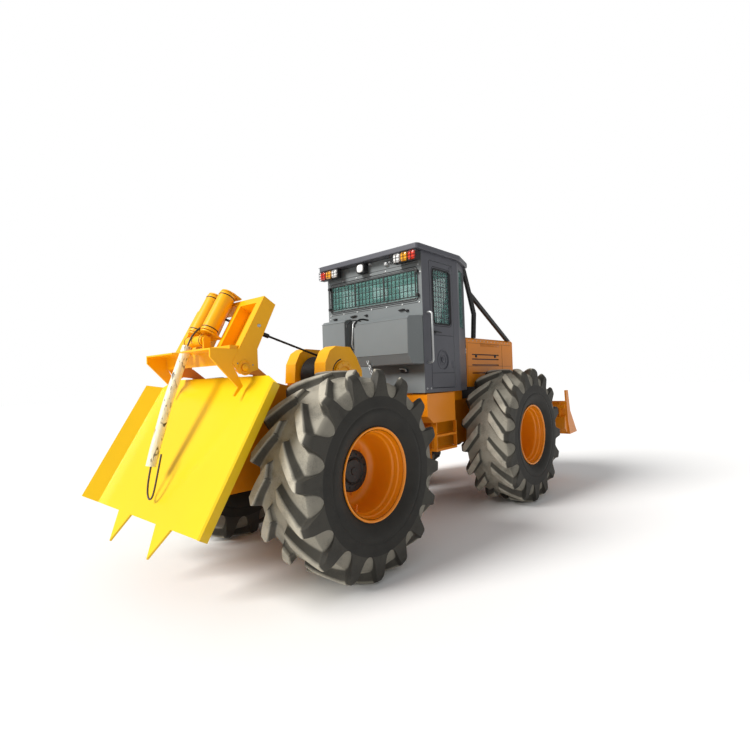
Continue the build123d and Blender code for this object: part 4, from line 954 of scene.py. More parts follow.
@dataclass
class Tyre:
    """A forestry tyre: a carcass with two staggered rows of lugs that slant from its middle, then turn out.

    Every point is angle, distance across and radius. It lies between the carcass's section and the section
    over the lugs, by a share that is 1 on a lug's top and 0 between lugs. Columns follow the lugs' flanks.
    """

    end: str
    hand: int
    lugs: int = 16
    steps: int = 24
    lean: float = 17.0
    radius: float = 0.795
    lug_half: float = 0.028
    # across and out over the lugs, across and out between them, half a lug's top and foot in degrees, share
    crown: tuple[tuple[float, ...], ...] = (
        (0.000, 0.795, 0.000, 0.7420, 3.2, 5.9, 0.0), (0.020, 0.795, 0.020, 0.7415, 3.2, 5.9, 0.0),
        (0.040, 0.795, 0.040, 0.7405, 3.2, 5.9, 0.0), (0.049, 0.795, 0.049, 0.7395, 3.2, 5.9, 0.04),
        (0.055, 0.795, 0.055, 0.7390, 3.2, 5.9, 0.55), (0.060, 0.795, 0.060, 0.7385, 3.2, 5.9, 0.95),
        (0.068, 0.795, 0.068, 0.7380, 3.2, 5.9, 1.0), (0.088, 0.795, 0.088, 0.7360, 3.2, 5.9, 1.0),
        (0.110, 0.795, 0.110, 0.7340, 3.2, 5.9, 1.0), (0.135, 0.795, 0.135, 0.7310, 3.2, 5.9, 1.0),
        (0.160, 0.795, 0.160, 0.7270, 3.2, 5.9, 1.0), (0.185, 0.795, 0.185, 0.7215, 3.2, 5.9, 1.0),
        (0.208, 0.795, 0.208, 0.7150, 3.1, 5.8, 1.0), (0.222, 0.795, 0.222, 0.7100, 2.8, 5.6, 1.0),
        (0.235, 0.795, 0.233, 0.7055, 2.5, 5.4, 1.0), (0.250, 0.793, 0.243, 0.7010, 2.3, 5.2, 1.0),
        (0.263, 0.787, 0.251, 0.6950, 2.2, 5.1, 1.0), (0.274, 0.778, 0.257, 0.6890, 2.3, 5.1, 1.0),
        (0.283, 0.767, 0.262, 0.6810, 2.4, 5.1, 1.0), (0.2895, 0.755, 0.266, 0.6730, 2.6, 5.2, 1.0),
        (0.2935, 0.742, 0.269, 0.6650, 3.0, 5.3, 1.0), (0.2935, 0.720, 0.272, 0.6550, 3.6, 5.4, 1.0),
        (0.2935, 0.690, 0.2755, 0.6420, 4.3, 5.8, 1.0), (0.2935, 0.660, 0.279, 0.6290, 5.1, 6.2, 1.0),
        (0.2935, 0.635, 0.282, 0.6170, 5.9, 6.8, 1.0), (0.2935, 0.616, 0.284, 0.6080, 6.7, 7.4, 1.0),
        (0.2935, 0.605, 0.2855, 0.6010, 7.5, 8.1, 1.0), (0.2935, 0.597, 0.287, 0.5950, 8.4, 8.9, 1.0),
        (0.2935, 0.591, 0.289, 0.5900, 9.4, 9.9, 1.0), (0.2935, 0.587, 0.2935, 0.5870, 9.8, 10.4, 1.0),
    )
    sidewall: Profile = (
        (0.2935, 0.575), (0.2935, 0.545), (0.2935, 0.515), (0.2930, 0.505), (0.2905, 0.501), (0.2905, 0.494),
        (0.2930, 0.490), (0.2930, 0.472), (0.2915, 0.460), (0.2880, 0.445), (0.2810, 0.425), (0.2710, 0.405),
        (0.2590, 0.386), (0.2480, 0.371), (0.2420, 0.363), (0.2405, 0.358), (0.2400, 0.345), (0.2400, 0.3305),
    )
    wall_columns: Triple = (9.8, 10.4, 1.0)
    # how far across the columns are fully bent, and where the lugs' slant begins and ends
    bent_from: float = 0.046
    slant: Pair = (0.055, 0.2435)
    # each column's place: shares of a lug's half top, of its flank and of the gap, then its share of the lug
    top_at: tuple[float, ...] = (0, 0.22, 0.44, 0.66, 0.86, 0.97)
    flank_at: tuple[float, ...] = (0.08, 0.32, 0.62, 0.90)
    gap_at: tuple[float, ...] = (0.15, 0.52, 1.0)
    share_at: tuple[float, ...] = (1, 1, 1, 1, 1, 1, 0.955, 0.74, 0.40, 0.10, 0.0, 0.0, 0.0)
    # the soil on a lug's top, on its flank and on the gap's floor, then past the shoulder: lug, floor, wall;
    # the little soil on the flanks and on the lugs' sides past the shoulder is partly painted shade, bare
    # dark rubber where shade falls
    soil_and_shade_tread: Triple = (0.85, 0.14, 0.62)
    soil_and_shade_side: Triple = (0.08, 0.42, 0.03)
    on_top: float = 0.93
    on_flank: float = 0.08
    shoulder: float = 0.262
    wall_below: float = 0.59

    def soil(self, share: Array, table: Array) -> Array:
        """How much dry soil lies at each point; the flanks and the lugs' sides are kept nearly bare partly as
        painted shade.

        Args:
            share: each point's share of a lug.
            table: the section's rows.

        Returns:
            Soil from 0 to 1, rows by columns.
        """
        top, flank, floor = self.soil_and_shade_tread
        side_lug, side_floor, wall = self.soil_and_shade_side
        on_lug = share > self.on_flank
        tread = np.where(share > self.on_top, top, np.where(on_lug, flank, floor))
        side = np.where(on_lug, side_lug, side_floor)
        soil = np.where(table[:, 0] > self.shoulder, side, tread)
        return np.where(table[:, 3] < self.wall_below, wall, soil)

    def rows(self, side: int) -> tuple[Array, Array, Array, Array]:
        """Half of the tyre from its middle to one bead.

        Args:
            side: 1 for the half away from the machine, whose lugs set the phase, -1 for the half towards it.

        Returns:
            Angle, distance across, radius and soil, each rows by columns.
        """
        side_rows = np.array([(y, r, y, r, *self.wall_columns) for y, r in self.sidewall])
        table = np.concatenate([np.array(self.crown), side_rows])[:, :, None]
        pitch, half = 360 / self.lugs, self.steps // 2
        column = np.arange(self.lugs * self.steps)
        lead = half if side > 0 else 0
        local = (column + lead) % self.steps - half
        centre = (column - local) / self.steps * pitch
        reach = np.abs(local)
        top, foot = table[:, 4], table[:, 5]
        knots = [top * f for f in self.top_at]
        knots += [top + (foot - top) * f for f in self.flank_at]
        knots += [foot + (pitch / 2 - foot) * f for f in self.gap_at]
        bent = np.sign(local) * np.concatenate(knots, 1)[:, reach]
        blend = np.clip(table[:, 0] / self.bent_from, 0, 1)
        start, end = self.slant
        lag = np.clip((table[:, 0] - start) / (end - start), 0, 1) * self.lean
        angle = centre + (1 - blend) * local / self.steps * pitch + blend * bent + lag
        share = np.array(self.share_at)[reach] * table[:, 6]
        across = table[:, 2] + (table[:, 0] - table[:, 2]) * share
        out = table[:, 3] + (table[:, 1] - table[:, 3]) * share
        return angle, side * across, out, self.soil(share, table)

    def phase(self) -> float:
        """How far round the lugs start, in degrees, so that a lug's corner stands on the ground."""
        reach = self.radius * math.sin(math.radians(self.lean / 2)) + self.lug_half
        flat = math.sqrt(self.radius**2 - reach**2)
        return math.degrees(math.atan2(reach, flat)) - self.lean / 2

    def build(self) -> None:
        """Make the tyre in place of the frame's."""
        name = f"tyre_{self.end}_{side_name(self.hand)}"
        outer, inner = self.rows(1), self.rows(-1)
        angle, across, out, soil = (np.concatenate([o[::-1], i[1:]]) for o, i in zip(outer, inner))
        turn = np.radians(angle + self.phase())
        points = np.stack([out * np.cos(turn), self.hand * across, out * np.sin(turn)], -1) + box_middle(name)
        faces = quad_grid(len(points), points.shape[1], wrap_rows=True, wrap_columns=True)
        if self.hand < 0:
            faces = faces[:, ::-1]
        surface = Surface().add(points, faces)
        tyre = surface.piece(f"{name}_lugged", Coat.RUBBER, frame["nodes"][name]["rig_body"], smooth=42.0)
        attribute = tyre.data.attributes.new("soil", "FLOAT", "POINT")
        attribute.data.foreach_set("value", soil.ravel())
        stand_for(tyre, name)


@dataclass
class Rim:
    """A pressed rim with stepped bead seats, its dished disc with nuts, and a black planetary hub."""

    end: str
    hand: int
    # along from the wheel's middle, out from the axle
    barrel: Profile = (
        (-0.093, 0.168), (-0.093, 0.262), (-0.110, 0.281), (-0.194, 0.308), (-0.236, 0.318), (-0.250, 0.326),
        (-0.254, 0.338), (-0.254, 0.351), (-0.250, 0.356), (-0.243, 0.356), (-0.240, 0.352), (-0.240, 0.3302),
        (0.240, 0.3302), (0.240, 0.352), (0.243, 0.356), (0.2495, 0.356), (0.2535, 0.3535), (0.254, 0.349),
        (0.2520, 0.3425), (0.2450, 0.3365), (0.2300, 0.3300), (0.2130, 0.3262), (0.2030, 0.3250),
        (0.1985, 0.3225),
        (0.1945, 0.3160), (0.1900, 0.3140), (0.1640, 0.3120), (0.1560, 0.3095), (0.1500, 0.3030),
        (0.1430, 0.2995),
        (0.1330, 0.2985), (0.0600, 0.2945), (0.0000, 0.2905), (-0.0300, 0.2860), (-0.0480, 0.2760),
        (-0.0600, 0.2600), (-0.0670, 0.2400), (-0.0690, 0.2200), (-0.0690, 0.168),
    )
    hub: Profile = (
        (-0.163, 0.0), (-0.163, 0.158), (-0.156, 0.165), (-0.012, 0.165), (-0.004, 0.163), (0.000, 0.158),
        (0.002, 0.150), (0.002, 0.112), (-0.002, 0.108), (-0.006, 0.104), (-0.006, 0.100), (0.002, 0.094),
        (0.006, 0.088), (0.006, 0.030), (0.012, 0.026), (0.012, 0.0),
    )
    fasteners: int = 12
    # along from the wheel's middle, out from the axle, and the size of the nuts and of the hub's bolts
    nuts: Triple = (-0.069, 0.203, 0.019)
    bolts: Triple = (0.001, 0.132, 0.013)
    valve: Profile = (
        (0, 0.016), (0.012, 0.016), (0.014, 0.008), (0.052, 0.008), (0.054, 0.0),
    )
    valve_at: Pair = (0.09, 0.296)
    valve_down: Triple = (-0.26, 0.0, -0.9656)

    def build(self) -> None:
        """Make the rim with its nuts and valve, and the hub with its bolts."""
        side = f"{self.end}_{side_name(self.hand)}"
        centre = box_middle(f"rim_{side}")
        body = frame["nodes"][f"rim_{side}"]["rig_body"]
        axis = np.array([0.0, self.hand, 0.0])
        angles = turns(self.fasteners) + 0.2

        def circle_of(fastener: Triple) -> Surface:
            along, out, size = fastener
            return bolt_heads(axis, size, centre + axis * along + arc(angles, out))

        ring = ring_lathe(self.barrel, centre, axis, 96).join(circle_of(self.nuts))
        down = np.array(self.valve_down)
        along, out = self.valve_at
        ring.join(lathe(self.valve, centre + axis * along + out * down, -down, 14))
        stand_for(ring.piece(f"rim_{side}_pressed", Coat.RIM_PAINTED_SHADE, body, smooth=30.0), f"rim_{side}")
        cover = lathe(self.hub, centre, axis, 64).join(circle_of(self.bolts))
        cover.piece(f"hub_{side}", Coat.HUB, body, smooth=30.0)


@dataclass
class Wheels:
    """The four tyres on their rims."""

    ends: tuple[str, ...] = ("front", "rear")

    def build(self) -> None:
        """Make each wheel."""
        for end in self.ends:
            for hand in (1, -1):
                Tyre(end, hand).build()
                Rim(end, hand).build()


# ---------------------------------------------------------------- ropes


@dataclass
class HangingLine:
    """The doubled-back choker rope behind the fairlead and the film wrapped round it."""

    diameter: float = 0.014
    points: Path = (
        (-0.768, 0, 1.962), (-0.826, 0, 1.918), (-0.880, 0, 1.810), (-0.925, 0, 1.692), (-0.985, 0, 1.540),
        (-1.050, 0, 1.370), (-1.100, 0, 1.200), (-1.145, 0.002, 1.060), (-1.180, 0, 0.930),
        (-1.202, 0.002, 0.820), (-1.212, -0.004, 0.740), (-1.216, -0.036, 0.702), (-1.210, -0.074, 0.716),
        (-1.196, -0.088, 0.780), (-1.168, -0.086, 0.900), (-1.135, -0.074, 1.020),
    )

    def build(self) -> None:
        curve = bpy.data.curves.new("hanging_line", "CURVE")
        curve.dimensions = "3D"
        spline = curve.splines.new("NURBS")
        spline.points.add(len(self.points) - 1)
        for knot, point in zip(spline.points, self.points):
            knot.co = (*from_axle(*point), 1)
        spline.order_u = 3
        spline.use_endpoint_u = True
        spline.resolution_u = 12
        curve.bevel_depth = self.diameter / 2
        curve.bevel_resolution = 3
        rope = bpy.data.objects.new("hanging_line_rope", curve)
        bpy.context.scene.collection.objects.link(rope)
        curve.materials.append(Coat.ROPE.material())
        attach(rope, ARCH)
        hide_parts("hanging_rope")
        wrap = cad_copy("rope_wrap", Coat.FILM, 0.0)
        from_axle(*self.points[0])


@dataclass
class WinchRope:
    """Rope wound on the drum and the taut line's strands."""

    wire: float = 0.0085
    pack: float = 0.180
    half: float = 0.124
    steps_a_turn: int = 40
    line: float = 0.0092
    strands: int = 6
    lay_length: float = 0.51
    groove: float = 0.11

    def windings(self) -> None:
        """Wind the drum."""
        centre = box_middle("winch_drum") * (1, 0, 1)
        count = int(self.half / self.wire)
        angle = np.linspace(0, FULL_TURN * count, count * self.steps_a_turn)
        path = centre + arc(angle, self.pack)
        path[:, 1] += -self.half + 2 * self.half * angle / angle[-1]
        tube(path, self.wire, 7).piece("drum_windings", Coat.ROPE_DARK, "winch_drum_body", smooth=60)

    def taut_line(self) -> None:
        """Lay the strands: a twisted bar with a groove between every two of them."""
        middle, axis, half = axis_of("main_line")
        along = np.linspace(-half * 0.985, half * 0.97, 300)
        side = unit(np.cross(axis, ALONG_Y))
        up = np.cross(axis, side)
        turn = turns(24)[None]
        twist = turn * self.strands - FULL_TURN * self.strands * along[:, None] / self.lay_length
        radius = self.line * (1 + self.groove * np.cos(twist))
        ring = np.cos(turn)[..., None] * side + np.sin(turn)[..., None] * up
        rope = sleeve(middle + along[:, None, None] * axis + radius[..., None] * ring)
        rope.piece("main_line_strands", Coat.ROPE_DARK, REAR, smooth=60)

    def build(self) -> None:
        """Wind the drum and lay the line's strands."""
        self.windings()
        self.taut_line()


# ---------------------------------------------------------------- small fittings


@dataclass
class RearLamps:
    """Lenses and wire guards of the two lamp clusters and the work lamp under the roof's rear edge."""

    middle: float = 0.560
    pitch: float = 0.096
    height: float = 2.761
    face: float = 1.186
    wire: float = 0.0026
    lens: Pair = (0.044, 0.046)
    order: tuple[Coat, ...] = (Coat.LENS_CLEAR, Coat.LENS_AMBER, Coat.LENS_RED)
    # a guard's half section: behind the lamps' face, and out from the cluster's middle
    level_bar: Profile = ((0.05, 0.152), (-0.012, 0.152), (-0.024, 0.14))
    upright_bar: Profile = ((0.01, 0.053), (-0.016, 0.050), (-0.023, 0.042))
    # across, up and half size of the small boxes on the cab's back
    junctions: Path = (
        (-0.011, 2.796, 0.016), (-0.244, 2.758, 0.028), (-0.30, 2.765, 0.014),
    )

    def guard(self, y: float) -> Surface:
        """The wire guard of one cluster.

        Args:
            y: the cluster's middle.

        Returns:
            Its level and upright bars.
        """
        middle, wires = from_axle(self.face, y, self.height), Surface()
        level = [(x, -a, 0) for x, a in self.level_bar] + [(x, a, 0) for x, a in self.level_bar[::-1]]
        upright = [(x, 0, -a) for x, a in self.upright_bar] + [(x, 0, a) for x, a in self.upright_bar[::-1]]
        for z in (-0.032, 0.0, 0.032):
            wires.join(tube(middle + level + (0, 0, z), self.wire, 6, UP))
        for across in np.linspace(-0.144, 0.144, 7):
            wires.join(tube(middle + upright + (0, across, 0), self.wire, 6))
        return wires

    def build(self) -> None:
        """Make the lenses, from the middle outwards, the guards, the work lamp and the small boxes."""
        for place, coat in enumerate(self.order):
            glass = Surface()
            for hand in (-1, 1):
                spot = from_axle(self.face, hand * (self.middle + (place - 1) * self.pitch), self.height)
                glass.join(rear_pad(spot, self.lens, 0.016, 5.0, 0.05))
            glass.piece(f"lamp_lens_{place}", coat, smooth=50)
        self.guard(-self.middle).join(self.guard(self.middle)).piece("lamp_guards", Coat.BLACK_PAINT)
        work = rear_pad(from_axle(1.209, 0.080, 2.755), (0.046, 0.044), 0.014, 3.0, 0.04)
        work.piece("work_lamp_lens", Coat.LENS_CLEAR, smooth=50)
        rim = rounded_loop(from_axle(1.209, 0.080, 2.757), ALONG_Y, UP, (0.052, 0.05), 0.018)
        hoop(rim, 0.005).piece("work_lamp_rim", Coat.PLASTIC)
        small = Surface()
        for y, z, size in self.junctions:
            small.join(rear_pad(from_axle(1.291, y, z), (size, size * 0.9), 0.035, 6.0))
        small.piece("rear_junctions", Coat.PALE_METAL, smooth=50)


@dataclass
class CabTrim:
    """Seams, seals, latches, hinges and fasteners of the cab's shell and doors."""

    rear: float = 1.291
    side: float = 0.694
    window: tuple[float, float, float, float] = (1.498, 1.798, 2.092, 2.652)
    pressing: Triple = (1.643, 1.700, 0.100)
    # half size and bar radius of the seams round the rear window, whose middle is window_up
    window_up: float = 2.487
    window_seams: Path = ((0.640, 0.176, 0.0040), (0.622, 0.160, 0.0026))
    # across, up and half width of the latches on the back; a lever's points, across in half widths
    latches: Path = (
        (0.576, 2.243, 0.030), (0.272, 2.246, 0.052), (0.077, 2.236, 0.020), (-0.43, 2.236, 0.042),
        (-0.500, 2.222, 0.022),
    )
    lever: Path = (
        (-0.006, -0.7, 0.004), (-0.024, -0.6, 0.006), (-0.027, 0.0, 0.002), (-0.024, 0.75, -0.003),
    )
    door_lever: Path = (
        (1.470, 0.004, 1.992), (1.478, 0.026, 1.992), (1.50, 0.033, 1.991), (1.575, 0.031, 1.987),
    )
    pressing_cap: Profile = (
        (-0.008, 0.030), (0.002, 0.030), (0.006, 0.026), (0.008, 0.012), (0.012, 0.010), (0.014, 0),
    )

    def rear_face(self) -> None:
        """The seams round the rear window, latches and bolt heads on the back."""
        seams, latches = Surface(), Surface()
        for wide, high, radius in self.window_seams:
            loop = rounded_loop(from_axle(self.rear, 0, self.window_up), ALONG_Y, UP, (wide, high), 0.03)
            seams.join(hoop(loop, radius, 6))
        for z in (2.292, 2.705):
            seams.join(tube(placed([(self.rear, -0.66, z), (self.rear, 0.66, z)]), 0.0022, 6, ALONG_X))
        seams.piece("cab_rear_seams", Coat.SEAL)
        for y, z, wide in self.latches:
            base = from_axle(self.rear, y, z)
            latches.join(rear_pad(base, (wide, 0.011), 0.010, 6.0))
            latches.join(tube(np.array(self.lever) * (1, wide, 1) + base, 0.005, 8, UP))
        latches.piece("cab_rear_latches", Coat.PLASTIC, smooth=50)
        heads = [(y, z) for z in (2.68, 2.29) for y in np.linspace(-0.655, 0.655, 7)]
        heads += [(0.662, 2.25), (-0.675, 2.139), (-0.675, 2.60), (0.675, 2.60)]
        bolts = bolt_heads((-1, 0, 0), 0.010, [from_axle(self.rear, y, z) for y, z in heads])
        bolts.piece("cab_rear_bolts", Coat.PALE_METAL)

    def door_faces(self, hand: int, body: str) -> None:
        """One door's window seal, round pressing and seams.

        Args:
            hand: the door's side of the machine.
            body: the body that the door moves with.
        """
        name, y = side_name(hand), hand * self.side
        left, right, low, high = self.window
        middle = from_axle((left + right) / 2, y, (low + high) / 2)
        half = np.array([right - left, high - low]) / 2 + 0.010
        seal = hoop(rounded_loop(middle, ALONG_X, UP, half, 0.035), 0.009, 8, ALONG_Y)
        seal.join(hoop(rounded_loop(middle, ALONG_X, UP, half + 0.022, 0.05), 0.003, 6, ALONG_Y))
        seal.piece(f"door_seal_{name}", Coat.SEAL, body)
        x, z, radius = self.pressing
        centre, circle = from_axle(x, y, z), arc(turns(56))
        bead = hoop(centre + circle * (radius + 0.004), 0.0055, 8, ALONG_Y)
        bead.join(hoop(centre - (0, hand * 0.006, 0) + circle * radius * 0.55, 0.0035, 8, ALONG_Y))
        bead.join(lathe(self.pressing_cap, centre, (0, hand, 0), 28))
        bead.piece(f"door_pressing_{name}", Coat.CAB_DARK, body)
        seams = Surface()
        for z in (1.962, 1.560):
            seams.join(tube(placed([(1.440, y, z), (1.858, y, z)]), 0.0026, 6, UP))
        seams.piece(f"door_seams_{name}", Coat.SEAL, body)

    def door_fittings(self, hand: int, body: str) -> None:
        """One door's latch and hinge leaves; the arguments are those of door_faces."""
        name, y = side_name(hand), hand * self.side
        latch = side_pad(hand, from_axle(1.490, y, 1.990), (0.034, 0.016), 0.010, 5.0)
        latch.join(tube(placed(self.door_lever) * (1, hand, 1) + (0, y, 0), 0.0065, 8, UP))
        latch.piece(f"door_latch_{name}", Coat.PLASTIC, body, smooth=50)
        leaves = Surface()
        for z in (1.650, 2.690):
            middle = from_axle(1.835, y, z)
            leaves.join(side_pad(hand, middle, (0.028, 0.034), 0.006, 6.0))
            spots = [middle + (0, hand * 0.004, dz) for dz in (-0.018, 0.018)]
            leaves.join(bolt_heads((0, hand, 0), 0.007, spots))
        leaves.piece(f"door_hinge_leaves_{name}", Coat.CAB_DARK, body)

    def build(self) -> None:
        """Make the trim of the back, of both doors, of the roof and of the shell's foot."""
        self.rear_face()
        roof, feet = Surface(), Surface()
        for hand in (1, -1):
            body = f"door_{side_name(hand)}_body"
            self.door_faces(hand, body)
            self.door_fittings(hand, body)
            lip = placed([(1.182, hand * 0.728, 2.868), (2.00, hand * 0.728, 2.868)])
            roof.join(tube(lip, 0.004, 6, UP))
            spots = [from_axle(x, hand * self.side, 1.402) for x in (1.33, 1.40)]
            feet.join(bolt_heads((0, hand, 0), 0.011, spots))
        roof.piece("roof_drip_rails", Coat.CAB_GREY)
        feet.piece("cab_side_bolts", Coat.PALE_METAL)


@dataclass
class LockerTrim:
    """Seams, rods and straps on the two lockers behind the cab, and the fittings under them."""

    # how far ahead, from and to across, and up
    seams: tuple[tuple[float, float, float, float], ...] = (
        (1.030, -0.690, 0.036, 1.760), (1.030, -0.690, 0.036, 2.104), (1.171, 0.320, 0.690, 2.178),
    )
    rod: Path = (
        (1.075, 0.052, 2.150), (1.045, 0.056, 2.120), (1.045, 0.080, 1.900), (1.070, 0.084, 1.860),
    )
    strap: Path = (
        (1.24, 0.010, 2.172), (1.16, 0.012, 2.176), (1.11, 0.016, 2.170), (1.062, 0.020, 2.146),
        (1.024, 0.022, 2.116), (1.023, 0.022, 2.085),
    )
    clip: Path = (
        (1.292, -0.40, 1.612), (1.262, -0.40, 1.616), (1.255, -0.43, 1.616), (1.255, -0.475, 1.606),
        (1.262, -0.480, 1.585),
    )

    def build(self) -> None:
        """Make the lockers' fittings."""
        seams, straps = Surface(), Surface()
        for x, start, end, z in self.seams:
            seams.join(tube(placed([(x, start, z), (x, end, z)]), 0.003, 6, ALONG_X))
        seams.piece("locker_seams", Coat.CAB_GREY)
        tube(placed(self.rod), 0.008, 10, ALONG_X).piece("locker_prop_rod", Coat.PALE_METAL, smooth=50)
        for shift, thick in ((0.0, 0.010), (0.11, 0.006)):
            straps.join(tube(placed(self.strap) + (0, shift, 0), thick, 8))
        straps.piece("locker_straps", Coat.PLASTIC, smooth=50)
        tube(placed(self.clip), 0.009, 10, UP).piece("locker_clip", Coat.PALE_METAL, smooth=50)
        bracket = rear_pad(from_axle(1.285, -0.44, 1.592), (0.05, 0.018), 0.03, 6.0)
        bracket.piece("locker_clip_bracket", Coat.PLASTIC, smooth=50)


@dataclass
class Fairlead:
    """Collars of the rollers, and the fasteners of the arch's pivots."""

    rollers_out: tuple[tuple[str, float], ...] = (("left", 0.066), ("right", 0.066), ("lower", 0.043))
    pivot: Pair = (-0.699, 1.627)
    pivot_side: float = 0.513
    arch_side: float = 0.503
    cap: Profile = (
        (-0.003, 0.029), (0.003, 0.029), (0.006, 0.026), (0.008, 0.018), (0.014, 0.016), (0.016, 0.012),
        (0.017, 0),
    )

    def rollers(self) -> None:
        """Dark collars near both ends of each roller."""
        section = np.array([(-0.004, -0.004), (-0.004, 0.0015), (0.004, 0.0015), (0.004, -0.004)])
        for name, radius in self.rollers_out:
            middle, axis, half = axis_of(f"fairlead_roller_{name}")
            collars = Surface()
            for at in (-0.86, 0.86):
                collars.join(ring_lathe(section + (0, radius), middle + at * half * axis, axis, 48))
            collars.piece(f"roller_collars_{name}", Coat.DARK_STEEL, f"roller_{name}_body")

    def pivots(self) -> None:
        """A cap and a bolted rim over each arch pivot, and a pale plate on the arch's side."""
        caps, rims, bolts, plates = Surface(), Surface(), Surface(), Surface()
        x, z = self.pivot
        open_turn = np.linspace(0.25 * np.pi, 1.75 * np.pi, 40)
        for hand in (-1, 1):
            centre = from_axle(x, hand * self.pivot_side, z)
            caps.join(lathe(self.cap, centre, (0, hand, 0), 36))
            rims.join(tube(centre - (0, hand * 0.008, 0) + arc(open_turn, 0.052), 0.006, 8))
            spots = [from_axle(x + 0.075 * math.cos(a), hand * self.arch_side, z + 0.05 * math.sin(a))
                     for a in (0.4, 2.5, 4.6)]
            bolts.join(bolt_heads((0, hand, 0), 0.0065, spots))
            plates.join(side_pad(hand, from_axle(-0.566, hand * 0.504, 1.944), (0.016, 0.012), 0.008, 3.0))
        caps.piece("arch_pivot_caps", Coat.AMBER, REAR)
        rims.piece("arch_pivot_rims", Coat.AMBER, ARCH)
        bolts.piece("arch_pivot_bolts", Coat.STEEL, ARCH)
        plates.piece("arch_side_plates", Coat.PALE_METAL, ARCH, smooth=50)

    def build(self) -> None:
        """Make the fairlead's fittings."""
        self.rollers()
        self.pivots()


@dataclass
class WinchTrim:
    """Covers, bolts and shaded slots on the outside of the winch's cheeks."""

    centre: Pair = (0.530, 1.575)
    half: float = 0.300
    bolt_circle: float = 0.098
    slot_radius: float = 0.142
    cover: Profile = (
        (-0.002, 0.072), (-0.002, 0.120), (0.009, 0.120), (0.012, 0.116), (0.012, 0.078), (0.009, 0.072),
    )

    def build(self) -> None:
        """Make the trim of both cheeks."""
        covers, bolts, slots = Surface(), Surface(), Surface()
        x, z = self.centre
        slot = np.radians(np.linspace(101, 174, 24))
        for hand in (-1, 1):
            middle = from_axle(x, hand * self.half, z)
            covers.join(ring_lathe(self.cover, middle, (0, hand, 0), 56))
            spots = middle + (0, hand * 0.012, 0) + arc(turns(8) + 0.25, self.bolt_circle)
            bolts.join(bolt_heads((0, hand, 0), 0.0105, spots))
            slots.join(tube(middle - (0, hand * 0.019, 0) + arc(slot, self.slot_radius), 0.0115, 8))
        covers.piece("winch_covers", Coat.AMBER, REAR)
        bolts.piece("winch_cover_bolts", Coat.AMBER, REAR)
        slots.piece("winch_slot_shadows", Coat.BLACK_PAINT, REAR)


@dataclass
class RamTrim:
    """Gland nuts, ports and steel pipes on the rams' barrels."""

    barrel: float = 0.036
    # along the barrel and out from its face
    nut: Profile = (
        (0.002, -0.006), (0.002, 0.002), (0.006, 0.006), (0.030, 0.006), (0.034, 0.002), (0.034, -0.006),
    )
    port: Profile = (
        (-0.004, 0.011), (0.016, 0.011), (0.016, 0.009), (0.024, 0.009), (0.026, 0),
    )
    first_port: float = 0.055
    last_port: float = 0.085
    blade_side: float = 0.525

    def ram(self, title: str, body: str, gland: Array, eye: Array, out: Array) -> None:
        """One barrel's fittings.

        Args:
            title: the ram's name.
            body: the barrel's body.
            gland: the middle of the barrel's open end.
            eye: the middle of its closed end.
            out: the direction that its ports face.
        """
        axis = unit(eye - gland)
        out = unit(out - axis * float(np.dot(out, axis)))
        first, last = self.first_port, float(np.linalg.norm(eye - gland)) - self.last_port
        fittings = ring_lathe(np.array(self.nut) + (0, self.barrel), gland, axis, 40)
        for at in (first, last):
            fittings.join(lathe(self.port, gland + at * axis + self.barrel * out, out, 6))
        pipe = [(first, 0.014), (first + 0.015, 0.018), (last - 0.015, 0.018), (last, 0.014)]
        path = [gland + along * axis + (self.barrel + off) * out for along, off in pipe]
        fittings.join(tube(path, 0.006, 8, np.cross(axis, out)))
        fittings.piece(f"ram_fittings_{title}", Coat.DARK_STEEL, body, smooth=40)

    def build(self) -> None:
        """Make the fittings of the steering rams and the blade's rams."""
        low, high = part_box("blade_barrels")
        for hand in (1, -1):
            name = side_name(hand)
            middle, axis, half = axis_of(f"steering_barrel_{name}")
            forward = axis * np.sign(axis[0])
            self.ram(f"steering_{name}", f"steering_barrel_{name}_body", middle - forward * half * 0.98,
                     middle + forward * (half - 0.05), np.array(UP))
            gland = np.array([high.x - 0.038, hand * self.blade_side, low.z + 0.004])
            eye = np.array([low.x + 0.056, hand * self.blade_side, high.z - 0.06])
            self.ram(f"blade_{name}", "blade_barrel_body", gland, eye, np.array([-1.0, 0, 0]))


@dataclass
class SeatPads:
    """The operator's cushions over the seat's pan and back."""

    def build(self) -> None:
        """Make the pads, each with a bolster at either side."""
        seat, back = Surface(), Surface()
        along, up = (1, 0, 0.06), (-0.06, 0, 1)
        rise, out = (-0.17, 0, 0.985), (0.985, 0, 0.17)
        seat.join(cushion(from_axle(1.66, 0, 1.835), (0.225, 0.215, 0.055), along, up))
        back.join(cushion(from_axle(1.475, 0, 2.10), (0.255, 0.20, 0.055), rise, out))
        for hand in (-1, 1):
            seat.join(cushion(from_axle(1.66, hand * 0.20, 1.85), (0.21, 0.045, 0.06), along, up))
            back.join(cushion(from_axle(1.485, hand * 0.195, 2.08), (0.22, 0.04, 0.065), rise, out))
        back.join(cushion(from_axle(1.425, 0, 2.37), (0.055, 0.14, 0.045), rise, out))
        for pad, name in ((seat, "seat_cushion"), (back, "seat_back_pad")):
            pad.piece(name, Coat.FABRIC, smooth=60)


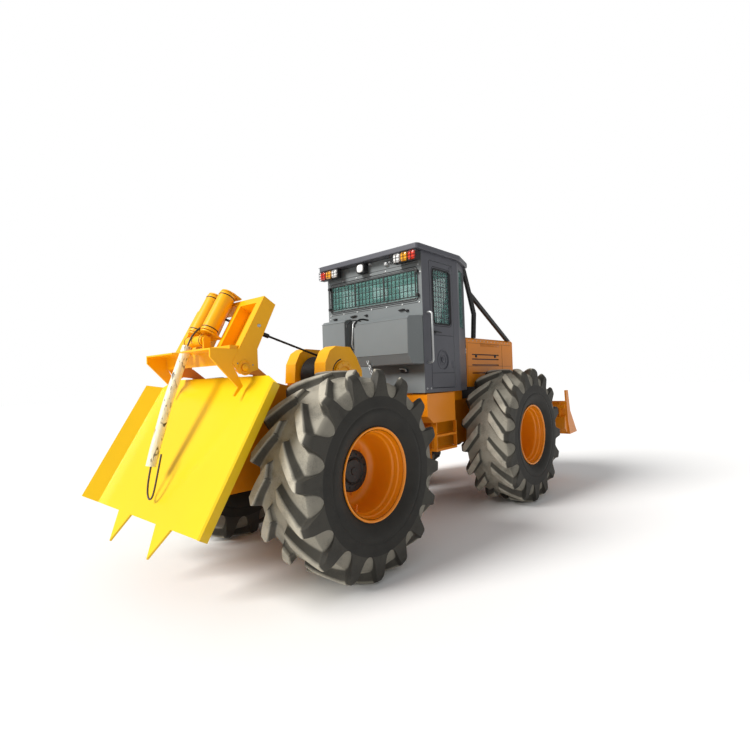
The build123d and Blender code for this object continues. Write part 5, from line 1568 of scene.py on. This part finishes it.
@dataclass
class HoodTrim:
    """Bolts, seams and catches of the engine hood, the plates behind its slots, and its top louvres."""

    side: float = 0.550
    baffle_side: float = 0.530
    top: float = 1.989

    def build(self) -> None:
        """Make the hood's fittings on both sides and on top."""
        bolts, seams, catches, ridge = Surface(), Surface(), Surface(), Surface()
        for hand in (-1, 1):
            y = hand * self.side
            spots = [from_axle(x, y, 1.955) for x in np.arange(2.44, 3.56, 0.094)]
            bolts.join(bolt_heads((0, hand, 0), 0.008, spots))
            for x in (2.600, 3.100):
                catches.join(side_pad(hand, from_axle(x, y, 1.765), (0.022, 0.016), 0.010, 5.0))
            for z in (1.925, 1.640):
                seams.join(tube(placed([(2.385, y, z), (3.56, y, z)]), 0.0022, 6, UP))
            for x in (2.395, 3.30):
                seams.join(tube(placed([(x, y, 1.40), (x, y, 1.925)]), 0.0022, 6, ALONG_X))
            middle = from_axle(2.87, hand * self.baffle_side, 1.740)
            baffle = side_pad(hand, middle, (0.40, 0.165), 0.004, 8.0)
            baffle.piece(f"hood_baffle_{side_name(hand)}", Coat.BLACK_PAINT)
        bolts.piece("hood_bolts", Coat.PALE_METAL)
        seams.piece("hood_seams", Coat.SEAM_BROWN)
        catches.piece("hood_catches", Coat.DARK_STEEL, smooth=50)
        for x in np.arange(2.47, 3.50, 0.047):
            ridge.join(pillow(from_axle(x, 0, self.top), ALONG_X, ALONG_Y, (0.013, 0.40), 0.008, 6.0))
        ridge.piece("hood_top_louvres", Coat.AMBER_PAINTED_SHADE, smooth=45)


@dataclass
class ChainEnd:
    """A short choker chain hung under the larger locker."""

    start: Triple = (1.065, -0.125, 1.700)
    step: Triple = (0.0, -0.012, -0.028)
    link: Pair = (0.020, 0.011)
    wire: float = 0.0055
    links: int = 5

    def build(self) -> None:
        """Hang the links one through the next, each turned a quarter from the last."""
        along, chain = unit(self.step), Surface()
        for count in range(self.links):
            across = np.array(ALONG_X) if count % 2 else unit(np.cross(along, ALONG_X))
            centre = from_axle(*self.start) + count * np.array(self.step)
            loop = rounded_loop(centre, along, across, self.link, self.link[1])
            chain.join(hoop(loop, self.wire, 8, np.cross(along, across)))
        chain.piece("choker_chain", Coat.PALE_METAL, smooth=60)


def main() -> None:
    """Build the machine's looks piece by piece."""
    logging.basicConfig(level=logging.INFO)
    parts = (
        Studio(), HangingLine(), Bodywork(), Wheels(), RearLamps(), CabTrim(), LockerTrim(), WinchRope(),
        Fairlead(), WinchTrim(), RamTrim(), SeatPads(), HoodTrim(), ChainEnd(),
    )
    for part in parts:
        part.build()
        log.info("%s built", type(part).__name__)


if __name__ == "__main__":
    main()
